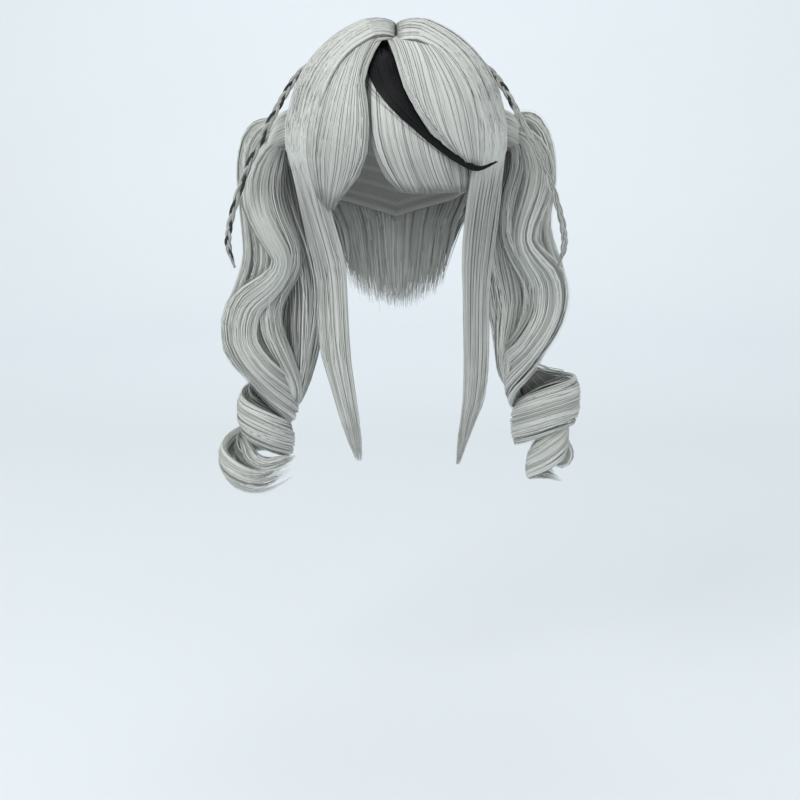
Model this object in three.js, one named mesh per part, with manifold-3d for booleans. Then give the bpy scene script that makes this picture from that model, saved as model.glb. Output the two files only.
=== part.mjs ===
// Twin ponytail wig in its worn form. A net cap carries parted crown hair, nape hair,
// a layered fringe with one black streak, two long side locks, two tied and curled
// ponytails and two thin braids. Millimetres, +Z up, the face opening towards -Y.
// The origin is the crown of the head that the cap sits on.
import * as THREE from "three";
import { ParametricGeometry } from "three/addons/geometries/ParametricGeometry.js";
import { mergeVertices } from "three/addons/utils/BufferGeometryUtils.js";
import Module from "manifold-3d";

const wasm = await Module();
wasm.setup();

// Head that the cap fits, and how far the hair stands off it
const HEAD = { halfWidth: 77, halfDepth: 97, halfHeight: 100 };
const HAIR = { side: 27.5, front: 15, top: 21 };
const CAP_WALL = 2;
const SEAT = 1.4;
const GAP = 0.6;
const SIDES = { right: -1, left: 1 };

// Parting along the top, and the wedge in front of it that the fringe fills
const PARTING = { front: -40, back: 42, half: 0.4, dip: 0.5 };
const FRINGE_HALF_ANGLE = 60;
const CROWN = { columns: 36, rows: 8, ribs: 9, ribDepth: 0.22 };

// Heights of the cap's edge and of the hem of the hair over it, by angle from the front
const CAP_EDGE = [
  { angle: 0, down: 52 },
  { angle: 40, down: 64 },
  { angle: 62, down: 106 },
  { angle: 90, down: 122 },
  { angle: 130, down: 148 },
  { angle: 180, down: 165 },
];
const CROWN_HEM = [
  { angle: 60, down: 104 },
  { angle: 95, down: 108 },
  { angle: 125, down: 138 },
  { angle: 180, down: 158 },
];

// Nape hair: the share of each crown half it spreads over, where it leaves the head,
// how it leans in below, and its lower edge, which rises to the sides and waves
const NAPE = {
  spread: 0.42,
  leave: 168,
  lean: 0.2,
  down: 250,
  rise: 24,
  wave: 8,
  lockWidth: 26,
  inner: 0.06,
  outer: 0.72,
};

// Fringe layers as shares of the hair's depth: 0 is against the cap, 1 the outside
const LAYER = {
  fringe: { inner: 0, outer: 0.32 },
  sweepLeft: { inner: 0.58, outer: 1 },
  sweepRight: { inner: 0, outer: 0.9 },
  streakDepth: 0.14,
};
const FRINGE_HANG = 95;
const FRINGE_RIB = 0.3;

// Facets and ribs of each fringe piece, and how thin it gets at its hem
const FRINGE_MESH = {
  fringe: { columns: 20, rows: 7, ribs: 5, hem: 0.8 },
  sweepLeft: { columns: 12, rows: 7, ribs: 3, hem: 0.5 },
  sweepRight: { columns: 12, rows: 8, ribs: 3, hem: 0.35 },
};

// Edges of the fringe pieces from the front, by distance below the crown
const FRINGE = [
  { down: 8, from: -8, to: 20 },
  { down: 31, from: -22, to: 44 },
  { down: 60, from: -23.5, to: 55 },
  { down: 84, from: -20, to: 59 },
  { down: 103, from: -13, to: 60 },
  { down: 119, from: -3, to: 60.5 },
  { down: 130, from: 6, to: 61 },
];
const SWEEP_LEFT = [
  { down: -8, from: 0.8, to: 16 },
  { down: 3, from: -8, to: 34 },
  { down: 15, from: -2, to: 46 },
  { down: 32, from: 5, to: 58 },
  { down: 52, from: 13, to: 67 },
  { down: 70, from: 25, to: 72 },
  { down: 84, from: 40, to: 74 },
  { down: 97, from: 55, to: 75 },
];
const SWEEP_RIGHT = [
  { down: -8, from: -16, to: -0.8 },
  { down: 4, from: -40, to: -19 },
  { down: 20, from: -56, to: -25.5 },
  { down: 32, from: -62, to: -26.5 },
  { down: 60, from: -70, to: -26 },
  { down: 84, from: -72, to: -22.5 },
  { down: 103, from: -64, to: -29 },
  { down: 124, from: -58, to: -38 },
  { down: 144, from: -54.5, to: -51 },
];

// Black streak: its middle line from the front, its width, and the depth it lies at
const STREAK = [
  { across: -14, down: 7, width: 5, depth: 0.38 },
  { across: -12, down: 25, width: 22, depth: 0.38 },
  { across: -3, down: 47, width: 17, depth: 0.38 },
  { across: 17, down: 71, width: 11, depth: 0.42 },
  { across: 37, down: 90, width: 8, depth: 0.55 },
  { across: 54, down: 103, width: 6, depth: 0.8 },
  { across: 70, down: 110, width: 4, depth: 1.02 },
  { across: 86, down: 105, width: 1.5, depth: 1.08 },
];

// Side locks: the two edges of each level section and its thickness
const SIDE_LOCK = {
  right: [
    { down: 108.3, near: 64, nearFore: 76, far: 96, farFore: 8, thick: 15 },
    { down: 150, near: 57.5, nearFore: 77, far: 84, farFore: 30, thick: 13 },
    { down: 186, near: 47, nearFore: 79, far: 75, farFore: 40, thick: 12 },
    { down: 214, near: 44, nearFore: 79, far: 69, farFore: 46, thick: 11 },
    { down: 268, near: 42, nearFore: 76, far: 68, farFore: 52, thick: 10 },
    { down: 310, near: 37, nearFore: 72, far: 57, farFore: 56, thick: 8 },
    { down: 346, near: 32, nearFore: 68, far: 47, farFore: 58, thick: 6 },
    { down: 373, near: 31, nearFore: 64, far: 36, farFore: 60, thick: 2.5 },
  ],
  left: [
    { down: 108.3, near: 66, nearFore: 75, far: 99, farFore: 8, thick: 15 },
    { down: 150, near: 63, nearFore: 77, far: 91, farFore: 30, thick: 13 },
    { down: 186, near: 60, nearFore: 78, far: 86, farFore: 38, thick: 12 },
    { down: 222, near: 60, nearFore: 77, far: 82, farFore: 44, thick: 11 },
    { down: 280, near: 61, nearFore: 75, far: 82, farFore: 50, thick: 10 },
    { down: 318, near: 60, nearFore: 72, far: 78.5, farFore: 55, thick: 8 },
    { down: 352, near: 56, nearFore: 68, far: 65, farFore: 58, thick: 6 },
    { down: 376, near: 54.5, nearFore: 64, far: 57, farFore: 61, thick: 2.5 },
  ],
};

// Ponytails: the tie, the root that runs out of it, then the curl by half turns. Each
// reach is outermost, innermost, outermost and so on; the curl crosses the front on
// its way in and the back on its way out.
const TIE = { out: 104.2, down: 84, back: 20, ring: 14, cord: 3 };
const TAIL_ROOT = [
  { out: 101.6, back: 20, down: 84, width: 20, thick: 20 },
  { out: 110, back: 20, down: 83, width: 21, thick: 21 },
  { out: 125, back: 20, down: 85, width: 36, thick: 25 },
];
const TAIL_AXIS_BACK = 20;
const TAIL_CURL = {
  right: [
    { reach: 133, down: 108, depth: 17, sag: 0, width: 40, thick: 22 },
    { reach: 92, down: 198, depth: 22, sag: 0, width: 44, thick: 22 },
    { reach: 154, down: 268, depth: 26, sag: 0, width: 46, thick: 20 },
    { reach: 98, down: 334, depth: 24, sag: -6, width: 38, thick: 15 },
    { reach: 140, down: 345, depth: 26, sag: 0, width: 40, thick: 12 },
    { reach: 101, down: 378, depth: 26, sag: -8, width: 32, thick: 11 },
    { reach: 164, down: 390, depth: 29, sag: 15, width: 28, thick: 10 },
    { reach: 97, down: 400, depth: 12, sag: 0, width: 22, thick: 8 },
  ],
  left: [
    { reach: 135, down: 108, depth: 17, sag: 0, width: 40, thick: 22 },
    { reach: 99, down: 186, depth: 22, sag: 0, width: 44, thick: 22 },
    { reach: 150, down: 243, depth: 26, sag: 0, width: 50, thick: 20 },
    { reach: 106, down: 314, depth: 24, sag: -4, width: 46, thick: 15 },
    { reach: 166, down: 328, depth: 27, sag: 0, width: 46, thick: 12 },
    { reach: 121, down: 366, depth: 25, sag: -6, width: 38, thick: 11 },
    { reach: 161, down: 373, depth: 24, sag: 6, width: 34, thick: 10 },
    { reach: 134, down: 403, depth: 20, sag: -4, width: 26, thick: 8 },
    { reach: 166, down: 403, depth: 10, sag: 0, width: 14, thick: 6 },
  ],
};

// Straighter locks that fill the inner and the rear side of each ponytail
const TAIL_FILL = {
  inner: [
    { right: 120, left: 120, back: 18, down: 92, width: 14, thick: 16 },
    { right: 121, left: 121, back: 12, down: 116, width: 28, thick: 22 },
    { right: 112, left: 113, back: 9, down: 140, width: 42, thick: 24 },
    { right: 103, left: 106, back: 7, down: 170, width: 38, thick: 22 },
    { right: 92, left: 102, back: 5, down: 214, width: 36, thick: 20 },
    { right: 88, left: 106, back: 6, down: 262, width: 30, thick: 18 },
    { right: 95, left: 110, back: 8, down: 298, width: 22, thick: 13 },
    { right: 92, left: 108, back: 9, down: 320, width: 8, thick: 5 },
  ],
  rear: [
    { right: 120, left: 120, back: 22, down: 90, width: 14, thick: 16 },
    { right: 130, left: 131, back: 30, down: 112, width: 30, thick: 24 },
    { right: 126, left: 128, back: 33, down: 165, width: 38, thick: 24 },
    { right: 119, left: 123, back: 33, down: 205, width: 38, thick: 22 },
    { right: 122, left: 126, back: 32, down: 250, width: 36, thick: 18 },
    { right: 126, left: 128, back: 29, down: 285, width: 28, thick: 14 },
    { right: 116, left: 122, back: 26, down: 322, width: 10, thick: 6 },
  ],
};
const TAIL_STEPS = { perHalfTurn: 6, fill: 12, sides: 6 };

// Braids: the middle line from the crown to the free end, and the three strands
const BRAID_LINE = [
  { out: 69.1, back: 30.2, down: 15.9 },
  { out: 88.6, back: 20.8, down: 32 },
  { out: 99.5, back: 8, down: 48 },
  { out: 108.5, back: -5, down: 65 },
  { out: 120, back: -14, down: 87 },
  { out: 133, back: -18, down: 114 },
  { out: 144.5, back: -18, down: 144 },
  { out: 151, back: -16, down: 168 },
  { out: 152.5, back: -14, down: 184 },
  { out: 147, back: -13, down: 204 },
];
const BRAID = {
  strands: 3,
  sway: 1.35,
  weave: 0.6,
  radius: 1.6,
  pitch: 27,
  tip: 0.45,
  stepsPerPitch: 6,
  sides: 9,
};

const FINISH = {
  hair: new THREE.MeshStandardMaterial({ color: 0xc9cccb, roughness: 0.45, metalness: 0 }),
  black: new THREE.MeshStandardMaterial({ color: 0x17171a, roughness: 0.4, metalness: 0 }),
  net: new THREE.MeshStandardMaterial({ color: 0x9a948c, roughness: 0.85, metalness: 0 }),
  elastic: new THREE.MeshStandardMaterial({ color: 0x77787a, roughness: 0.8, metalness: 0 }),
};

const HEAD_CENTRE = new THREE.Vector3(0, 0, -HEAD.halfHeight);
const radians = THREE.MathUtils.degToRad;
const lerp = THREE.MathUtils.lerp;
const ease = THREE.MathUtils.smoothstep;

// Half sizes of the ellipsoid at a share of the hair's depth above the cap
function hairForm(depth) {
  const seat = CAP_WALL + SEAT;
  return {
    a: HEAD.halfWidth + lerp(seat, HAIR.side, depth),
    b: HEAD.halfDepth + lerp(seat, HAIR.front, depth),
    c: HEAD.halfHeight + lerp(seat, HAIR.top, depth),
  };
}

// Value of one column of a table at a place along another, straight from row to row
function column(rows, key, place, name) {
  let at = 1;
  while (at < rows.length - 1 && rows[at][key] < place) at += 1;
  const low = rows[at - 1];
  const high = rows[at];
  const share = THREE.MathUtils.clamp((place - low[key]) / (high[key] - low[key]), 0, 1);
  return lerp(low[name], high[name], share);
}

// Curve through the rows of a table, each turned into a point
function curveThrough(rows, point) {
  return new THREE.CatmullRomCurve3(rows.map(point), false, "centripetal");
}

// Closed solid of a geometry, ready to be joined or cut
function solid(geometry) {
  geometry.deleteAttribute("normal");
  geometry.deleteAttribute("uv");
  const merged = mergeVertices(geometry, 1e-4);
  const build = (flip) => {
    const faces = Uint32Array.from(merged.index.array);
    for (let i = 0; flip && i < faces.length; i += 3) {
      [faces[i], faces[i + 1]] = [faces[i + 1], faces[i]];
    }
    const vertProperties = Float32Array.from(merged.attributes.position.array);
    return new wasm.Manifold(new wasm.Mesh({ numProp: 3, vertProperties, triVerts: faces }));
  };
  const first = build(false);
  return first.volume() > 0 ? first : build(true);
}

// Named mesh of a finished solid
function piece(name, body, material) {
  const mesh = body.getMesh();
  const geometry = new THREE.BufferGeometry();
  geometry.setAttribute("position", new THREE.BufferAttribute(mesh.vertProperties, 3));
  geometry.setIndex(new THREE.BufferAttribute(mesh.triVerts, 1));
  geometry.computeVertexNormals();
  const made = new THREE.Mesh(geometry, material);
  made.name = name;
  return made;
}

// Sheet of hair: place(across, along, depth) gives its outer face at depth 1 and its
// inner face at depth 0. The two outside columns close to an edge between the faces.
function sheet(columns, rows, place) {
  const around = 2 * rows + 2;
  const surface = (u, v, target) => {
    const step = Math.round(v * around) % around;
    const outside = step <= rows;
    const along = (outside ? step : around - 1 - step) / rows;
    const across = Math.round(u * columns);
    const edge = across === 0 || across === columns;
    target.copy(place(across / columns, along, edge ? 0.5 : Number(outside)));
  };
  return solid(new ParametricGeometry(surface, columns, around));
}

// Lock of hair: an oval section carried along, closed to a point at both ends.
// section(share) gives its middle, the two directions, the half sizes, and a shape
// that scales them by direction where the section isn't a plain oval. Sections are laid
// out on the right and mirrored for the left.
function lock(side, steps, sides, section) {
  const rings = steps + 2;
  const surface = (u, v, target) => {
    const ring = Math.round(v * rings);
    const share = THREE.MathUtils.clamp((ring - 1) / steps, 0, 1);
    const { middle, across, over, halfWide, halfThick, shape } = section(share);
    const turn = 2 * Math.PI * (Math.round(u * sides) % sides) / sides;
    const closed = ring === 0 || ring === rings;
    const open = closed ? 0 : shape ? shape(turn) : 1;
    target.copy(middle);
    target.addScaledVector(across, open * halfWide * Math.cos(turn));
    target.addScaledVector(over, open * halfThick * Math.sin(turn));
    target.x *= side * SIDES.right;
  };
  return solid(new ParametricGeometry(surface, sides, rings));
}

// Path that one comb stroke takes over the head: from a start on the parting, in the
// upright plane at the given angle from the front, at a share of the hair's depth
function combStroke(side, startY, angle, depth) {
  const { a, b, c } = hairForm(depth);
  const dx = side * Math.sin(radians(angle));
  const dy = -Math.cos(radians(angle));
  const startX = side * PARTING.half;
  const A = (dx / a) ** 2 + (dy / b) ** 2;
  const B = startX * dx / a ** 2 + startY * dy / b ** 2;
  const C = (startX / a) ** 2 + (startY / b) ** 2;
  const rest = 1 - C + B * B / A;
  const reach = Math.sqrt(rest / A);
  const height = c * Math.sqrt(rest);
  const first = Math.asin(B / A / reach);
  const turnAt = (down) => Math.acos((HEAD.halfHeight - down) / height);
  const at = (turn) => {
    const run = reach * Math.sin(turn) - B / A;
    const level = height * Math.cos(turn) - HEAD.halfHeight;
    return new THREE.Vector3(startX + run * dx, startY + run * dy, level);
  };
  return { first, turnAt, at, inward: new THREE.Vector3(-dx, -dy, 0) };
}

// Net cap: an outer and an inner face closed by a rim along the cap's edge
function wigCap() {
  const columns = 32;
  const rows = 7;
  const stacks = 2 * rows + 1;
  const surface = (u, v, target) => {
    const step = Math.round(v * stacks);
    const outside = step <= rows;
    const wall = outside ? CAP_WALL : 0;
    const angle = 360 * (Math.round(u * columns) % columns) / columns;
    const down = column(CAP_EDGE, "angle", Math.min(angle, 360 - angle), "down");
    const height = HEAD.halfHeight + wall;
    const last = Math.acos((HEAD.halfHeight - down) / height);
    const turn = last * (outside ? step : stacks - step) / rows;
    target.set(
      (HEAD.halfWidth + wall) * Math.sin(turn) * Math.sin(radians(angle)),
      -(HEAD.halfDepth + wall) * Math.sin(turn) * Math.cos(radians(angle)),
      height * Math.cos(turn) - HEAD.halfHeight,
    );
  };
  return piece("wig_cap", solid(new ParametricGeometry(surface, columns, stacks)), FINISH.net);
}

// Angle of the stroke that lies a share of the way from the temple to the back
function strokeAngle(across) {
  return lerp(FRINGE_HALF_ANGLE, 179.5, across ** 1.15);
}

// Half of the crown's hair, combed from the parting down to the hem
function crownHair(name, side) {
  const place = (across, along, depth) => {
    const angle = strokeAngle(across);
    const startY = lerp(PARTING.front, PARTING.back, across);
    const rise = lerp(PARTING.dip, 1, ease(along, 0, 0.16));
    const groove = CROWN.ribDepth * (0.5 - 0.5 * Math.cos(2 * Math.PI * CROWN.ribs * across));
    const cut = 1 - groove * ease(along, 0.05, 0.3);
    const stroke = combStroke(side, startY, angle, depth * rise * cut);
    const last = stroke.turnAt(column(CROWN_HEM, "angle", angle, "down"));
    return stroke.at(lerp(stroke.first, last, along));
  };
  return piece(`crown_hair_${name}`, sheet(CROWN.columns, CROWN.rows, place), FINISH.hair);
}

// Loose hair that carries the back of the crown on down over the nape
function napeHair() {
  const place = (across, along, depth) => {
    const away = 2 * across - 1;
    const side = away < 0 ? SIDES.right : SIDES.left;
    const behind = 1 - NAPE.spread * Math.abs(away);
    const angle = strokeAngle(behind);
    const share = lerp(NAPE.inner, NAPE.outer * (1 - 0.75 * along), depth);
    const stroke = combStroke(side, lerp(PARTING.front, PARTING.back, behind), angle, share);
    const top = column(CROWN_HEM, "angle", angle, "down") + GAP;
    const offset = stroke.at(stroke.turnAt(NAPE.leave)).x;
    const wave = NAPE.wave * Math.cos(2 * Math.PI * offset / NAPE.lockWidth);
    const down = lerp(top, NAPE.down - NAPE.rise * Math.abs(away) ** 3 + wave, along);
    const spot = stroke.at(stroke.turnAt(Math.min(down, NAPE.leave)));
    const below = Math.max(0, down - NAPE.leave);
    spot.addScaledVector(stroke.inward, NAPE.lean * below);
    spot.z -= below;
    return spot;
  };
  return piece("nape_hair", sheet(30, 4, place), FINISH.hair);
}

// Point of the fringe seen from the front at an offset and height, on a given layer
function onFringe(across, down, rest, depth) {
  const level = Math.min(down, FRINGE_HANG);
  const seen = hairForm(rest);
  const height = HEAD.halfHeight - level;
  const left = 1 - (across / seen.a) ** 2 - (height / seen.c) ** 2;
  const ray = new THREE.Vector3(across, -seen.b * Math.sqrt(Math.max(left, 0.002)), height);
  const form = hairForm(depth);
  ray.divideScalar(Math.hypot(ray.x / form.a, ray.y / form.b, ray.z / form.c));
  ray.add(HEAD_CENTRE);
  ray.z -= down - level;
  return ray;
}

// Upright wedge in front of the parting, which the fringe pieces stay inside
function fringeWedge() {
  const apex = PARTING.front - GAP;
  const length = 160;
  const half = radians(FRINGE_HALF_ANGLE);
  const outline = new THREE.Shape([
    new THREE.Vector2(0, apex),
    new THREE.Vector2(-length * Math.sin(half), apex - length * Math.cos(half)),
    new THREE.Vector2(length * Math.sin(half), apex - length * Math.cos(half)),
  ]);
  const wedge = new THREE.ExtrudeGeometry(outline, { depth: 260, bevelEnabled: false });
  wedge.translate(0, 0, -200);
  return solid(wedge);
}

// One layer of the fringe between the edges of its table
function fringePiece(name, rows, layer, shape) {
  const last = rows[rows.length - 1].down;
  const place = (across, along, depth) => {
    const down = lerp(rows[0].down, last, along);
    const from = column(rows, "down", down, "from");
    const to = column(rows, "down", down, "to");
    const groove = FRINGE_RIB * (0.5 - 0.5 * Math.cos(2 * Math.PI * shape.ribs * across));
    const thin = lerp(1, shape.hem, along) * (1 - groove);
    const share = lerp(layer.inner, lerp(layer.inner, layer.outer, thin), depth);
    const rest = lerp(layer.inner, layer.outer, 0.5);
    return onFringe(lerp(from, to, across), down, rest, share);
  };
  const body = sheet(shape.columns, shape.rows, place).intersect(fringeWedge());
  return piece(name, body, FINISH.hair);
}

// Black streak, a thin lock carried along its line over the fringe
function blackStreak() {
  const line = curveThrough(STREAK, (row) => new THREE.Vector3(row.across, 0, -row.down));
  const steps = STREAK.length - 1;
  const place = (across, along, depth) => {
    const at = line.getPoint(along);
    const tangent = line.getTangent(along);
    const low = Math.min(Math.floor(along * steps), steps - 1);
    const share = along * steps - low;
    const width = lerp(STREAK[low].width, STREAK[low + 1].width, share);
    const rest = lerp(STREAK[low].depth, STREAK[low + 1].depth, share);
    const offset = (across - 0.5) * width;
    const inner = rest + LAYER.streakDepth * depth;
    return onFringe(at.x - offset * tangent.z, -(at.z + offset * tangent.x), rest, inner);
  };
  return piece("black_streak", sheet(6, 14, place), FINISH.black);
}

// Side lock, a flat oval carried between its near and far edges
function sideLock(name, side) {
  const rows = SIDE_LOCK[name];
  const edge = (out, fore) => {
    return curveThrough(rows, (row) => new THREE.Vector3(-row[out], -row[fore], -row.down));
  };
  const near = edge("near", "nearFore");
  const far = edge("far", "farFore");
  const section = (share) => {
    const inside = near.getPoint(share);
    const outside = far.getPoint(share);
    const across = outside.clone().sub(inside);
    const halfWide = across.length() / 2;
    across.normalize();
    const over = new THREE.Vector3(-across.y, across.x, 0).normalize();
    const middle = inside.add(outside).multiplyScalar(0.5);
    const down = -middle.z;
    return { middle, across, over, halfWide, halfThick: column(rows, "down", down, "thick") / 2 };
  };
  return piece(`side_lock_${name}`, lock(side, 14, 10, section), FINISH.hair);
}

// Rows of one ponytail's curl as points, with the quarter turns worked out between
function curlRows(rows) {
  const made = TAIL_ROOT.map((row) => ({ ...row, facing: new THREE.Vector3(0, 0, 1) }));
  rows.forEach((row, index) => {
    const outward = index % 2 === 0 ? 1 : -1;
    const facing = new THREE.Vector3(-outward, 0, 0);
    made.push({ ...row, out: row.reach, back: TAIL_AXIS_BACK, facing });
    const next = rows[index + 1];
    if (!next) return;
    made.push({
      out: (row.reach + next.reach) / 2,
      back: TAIL_AXIS_BACK - outward * row.depth,
      down: (row.down + next.down) / 2 + row.sag,
      width: (row.width + next.width) / 2,
      thick: (row.thick + next.thick) / 2,
      facing: new THREE.Vector3(0, -outward, 0),
    });
  });
  return made;
}

// Lock whose section follows a table of rows with a facing direction each
function facedLock(side, rows, steps) {
  const line = curveThrough(rows, (row) => new THREE.Vector3(-row.out, row.back, -row.down));
  const last = rows.length - 1;
  const section = (share) => {
    const low = Math.min(Math.floor(share * last), last - 1);
    const part = share * last - low;
    const tangent = line.getTangent(share);
    const facing = rows[low].facing.clone().lerp(rows[low + 1].facing, part);
    const across = tangent.clone().cross(facing).normalize();
    const over = across.clone().cross(tangent).normalize();
    return {
      middle: line.getPoint(share),
      across,
      over,
      halfWide: lerp(rows[low].width, rows[low + 1].width, part) / 2,
      halfThick: lerp(rows[low].thick, rows[low + 1].thick, part) / 2,
    };
  };
  return lock(side, steps, TAIL_STEPS.sides, section);
}

// Ponytail: one curled lock with the fill locks joined to it
function ponytail(name, side) {
  const curl = curlRows(TAIL_CURL[name]);
  let body = facedLock(side, curl, TAIL_STEPS.perHalfTurn * TAIL_CURL[name].length + 4);
  for (const rows of Object.values(TAIL_FILL)) {
    const facing = new THREE.Vector3(0, -1, 0);
    const fill = rows.map((row) => ({ ...row, out: row[name], facing }));
    body = body.add(facedLock(side, fill, TAIL_STEPS.fill));
  }
  return piece(`ponytail_${name}`, body, FINISH.hair);
}

// Elastic ring round the root of a ponytail
function ponytailTie(name, side) {
  const ring = new THREE.TorusGeometry(TIE.ring, TIE.cord, 6, 20);
  ring.rotateY(Math.PI / 2);
  ring.translate(side * TIE.out, TIE.back, -TIE.down);
  return piece(`ponytail_tie_${name}`, solid(ring), FINISH.elastic);
}

// Distance from the braid's middle to the outside of its strands in one direction
function braidRadius(phase, turn) {
  let far = 0;
  for (let strand = 0; strand < BRAID.strands; strand += 1) {
    const place = phase + 2 * Math.PI * strand / BRAID.strands;
    const sway = BRAID.sway * Math.sin(place);
    const weave = BRAID.weave * Math.sin(2 * place);
    const ahead = sway * Math.cos(turn) + weave * Math.sin(turn);
    const beside = sway * Math.sin(turn) - weave * Math.cos(turn);
    far = Math.max(far, ahead + Math.sqrt(BRAID.radius ** 2 - beside ** 2));
  }
  return far;
}

// Braid, its three strands as one body
function braid(name, side) {
  const line = curveThrough(BRAID_LINE, (row) => new THREE.Vector3(-row.out, row.back, -row.down));
  const turns = line.getLength() / BRAID.pitch;
  const section = (share) => {
    const tangent = line.getTangentAt(share);
    const across = tangent.clone().cross(new THREE.Vector3(0, -1, 0)).normalize();
    const over = across.clone().cross(tangent).normalize();
    const size = lerp(1, BRAID.tip, ease(share, 0.88, 1));
    const shape = (turn) => braidRadius(2 * Math.PI * turns * share, turn);
    return { middle: line.getPointAt(share), across, over, halfWide: size, halfThick: size, shape };
  };
  const steps = Math.round(turns * BRAID.stepsPerPitch);
  return piece(`braid_${name}`, lock(side, steps, BRAID.sides, section), FINISH.hair);
}

const wig = new THREE.Group();
wig.name = "twin_ponytail_wig";
wig.add(wigCap());
wig.add(napeHair());
wig.add(fringePiece("fringe", FRINGE, LAYER.fringe, FRINGE_MESH.fringe));
wig.add(fringePiece("fringe_sweep_left", SWEEP_LEFT, LAYER.sweepLeft, FRINGE_MESH.sweepLeft));
wig.add(fringePiece("fringe_sweep_right", SWEEP_RIGHT, LAYER.sweepRight, FRINGE_MESH.sweepRight));
wig.add(blackStreak());
for (const [name, side] of Object.entries(SIDES)) {
  wig.add(crownHair(name, side));
  wig.add(sideLock(name, side));
  wig.add(ponytail(name, side));
  wig.add(ponytailTie(name, side));
  wig.add(braid(name, side));
}

export default wig;
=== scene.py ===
"""Looks of a twin ponytail wig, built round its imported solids.

Every body of hair is made of locks and strands that follow the same rows of sizes as the
solids: combed crown halves, nape hair, a layered fringe with one black streak, side locks,
curled ponytails and thin braids, over a net cap. Rows are in millimetres, meshes in metres.
"""

import logging
import math
from collections.abc import Callable, Sequence
from dataclasses import dataclass, field, replace
from enum import Enum
from typing import Any

import bmesh
import bpy
import numpy as np
from mathutils import Matrix, Vector

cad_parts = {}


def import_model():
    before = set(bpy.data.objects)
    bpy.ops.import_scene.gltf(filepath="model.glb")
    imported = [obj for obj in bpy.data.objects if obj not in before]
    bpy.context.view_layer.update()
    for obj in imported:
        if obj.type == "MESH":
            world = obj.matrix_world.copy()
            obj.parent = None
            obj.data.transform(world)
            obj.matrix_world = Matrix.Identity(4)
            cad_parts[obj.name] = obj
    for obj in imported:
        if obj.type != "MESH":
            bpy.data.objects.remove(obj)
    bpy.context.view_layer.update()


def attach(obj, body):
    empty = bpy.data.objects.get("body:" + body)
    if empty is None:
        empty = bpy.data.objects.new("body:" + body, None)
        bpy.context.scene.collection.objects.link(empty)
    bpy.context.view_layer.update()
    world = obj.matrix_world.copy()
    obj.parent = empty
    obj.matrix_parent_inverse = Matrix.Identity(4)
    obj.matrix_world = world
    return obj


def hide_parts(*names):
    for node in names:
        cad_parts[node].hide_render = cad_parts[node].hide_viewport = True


Array = np.ndarray
Rng = np.random.Generator
Pair = tuple[float, float]
Triple = tuple[float, float, float]
LOG = logging.getLogger("wig")
MM = 0.001
SEED = 7442
BODY = "root"
TONE = "tone"
GRAIN = "grain"
BAKE_MAP = "OFBake"
FINE_SIDES = 3


class Side(Enum):
    """Side of the wearer that a piece sits on, as the sign of its X."""

    RIGHT = -1
    LEFT = 1

    @property
    def label(self) -> str:
        """Word that ends the names of this side's pieces."""
        return self.name.lower()

    @property
    def mirror(self) -> Array:
        """Factors that carry points laid out on the right over to this side."""
        return np.array([-float(self.value), 1.0, 1.0])


class Slot(str, Enum):
    """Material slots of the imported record."""

    HAIR = "hair"
    BLACK = "black_hair"
    NET = "cap_net"
    ELASTIC = "elastic"


def ease(low: float, high: float, value: Array) -> Array:
    """Smooth rise from 0 at low to 1 at high.

    Args:
        low: Value where the rise starts.
        high: Value where the rise ends.
        value: Values to place on the rise.

    Returns:
        The smoothed share for each value.
    """
    share = np.clip((np.asarray(value, float) - low) / (high - low), 0.0, 1.0)
    return share * share * (3.0 - 2.0 * share)


def unit(vectors: Array) -> Array:
    """Vectors along the last axis, made one long."""
    return vectors / np.maximum(np.linalg.norm(vectors, axis=-1, keepdims=True), 1e-9)


def through(control: Array, share: Array) -> Array:
    """Smooth paths through control points.

    Args:
        control: Points of shape (strands, controls, 3).
        share: Places along the path from 0 to 1, of shape (strands, points).

    Returns:
        Points of shape (strands, points, 3).
    """
    last = control.shape[1] - 1
    place = np.clip(share, 0.0, 1.0) * last
    low = np.minimum(place.astype(int), last - 1)
    part = (place - low)[..., None]
    first = 2 * control[:, :1] - control[:, 1:2]
    final = 2 * control[:, -1:] - control[:, -2:-1]
    padded = np.concatenate([first, control, final], axis=1)
    row = np.arange(control.shape[0])[:, None]
    p0, p1, p2, p3 = (padded[row, low + step] for step in range(4))
    slope = p2 - p0
    bend = 2 * p0 - 5 * p1 + 4 * p2 - p3
    turn = 3 * (p1 - p2) + p3 - p0
    return p1 + 0.5 * part * (slope + part * (bend + part * turn))


def drift(rng: Rng, strands: int, points: int, knots: int) -> Array:
    """Slow random drift along each strand.

    Args:
        rng: Source of random numbers.
        strands: Number of strands.
        points: Points on each strand.
        knots: Number of random values that each drift runs through.

    Returns:
        Values around 0 of shape (strands, points).
    """
    values = rng.normal(0.0, 1.0, (strands, knots, 1))
    share = np.broadcast_to(np.linspace(0.0, 1.0, points), (strands, points))
    return through(np.repeat(values, 3, axis=2), share)[..., 0]


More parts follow.
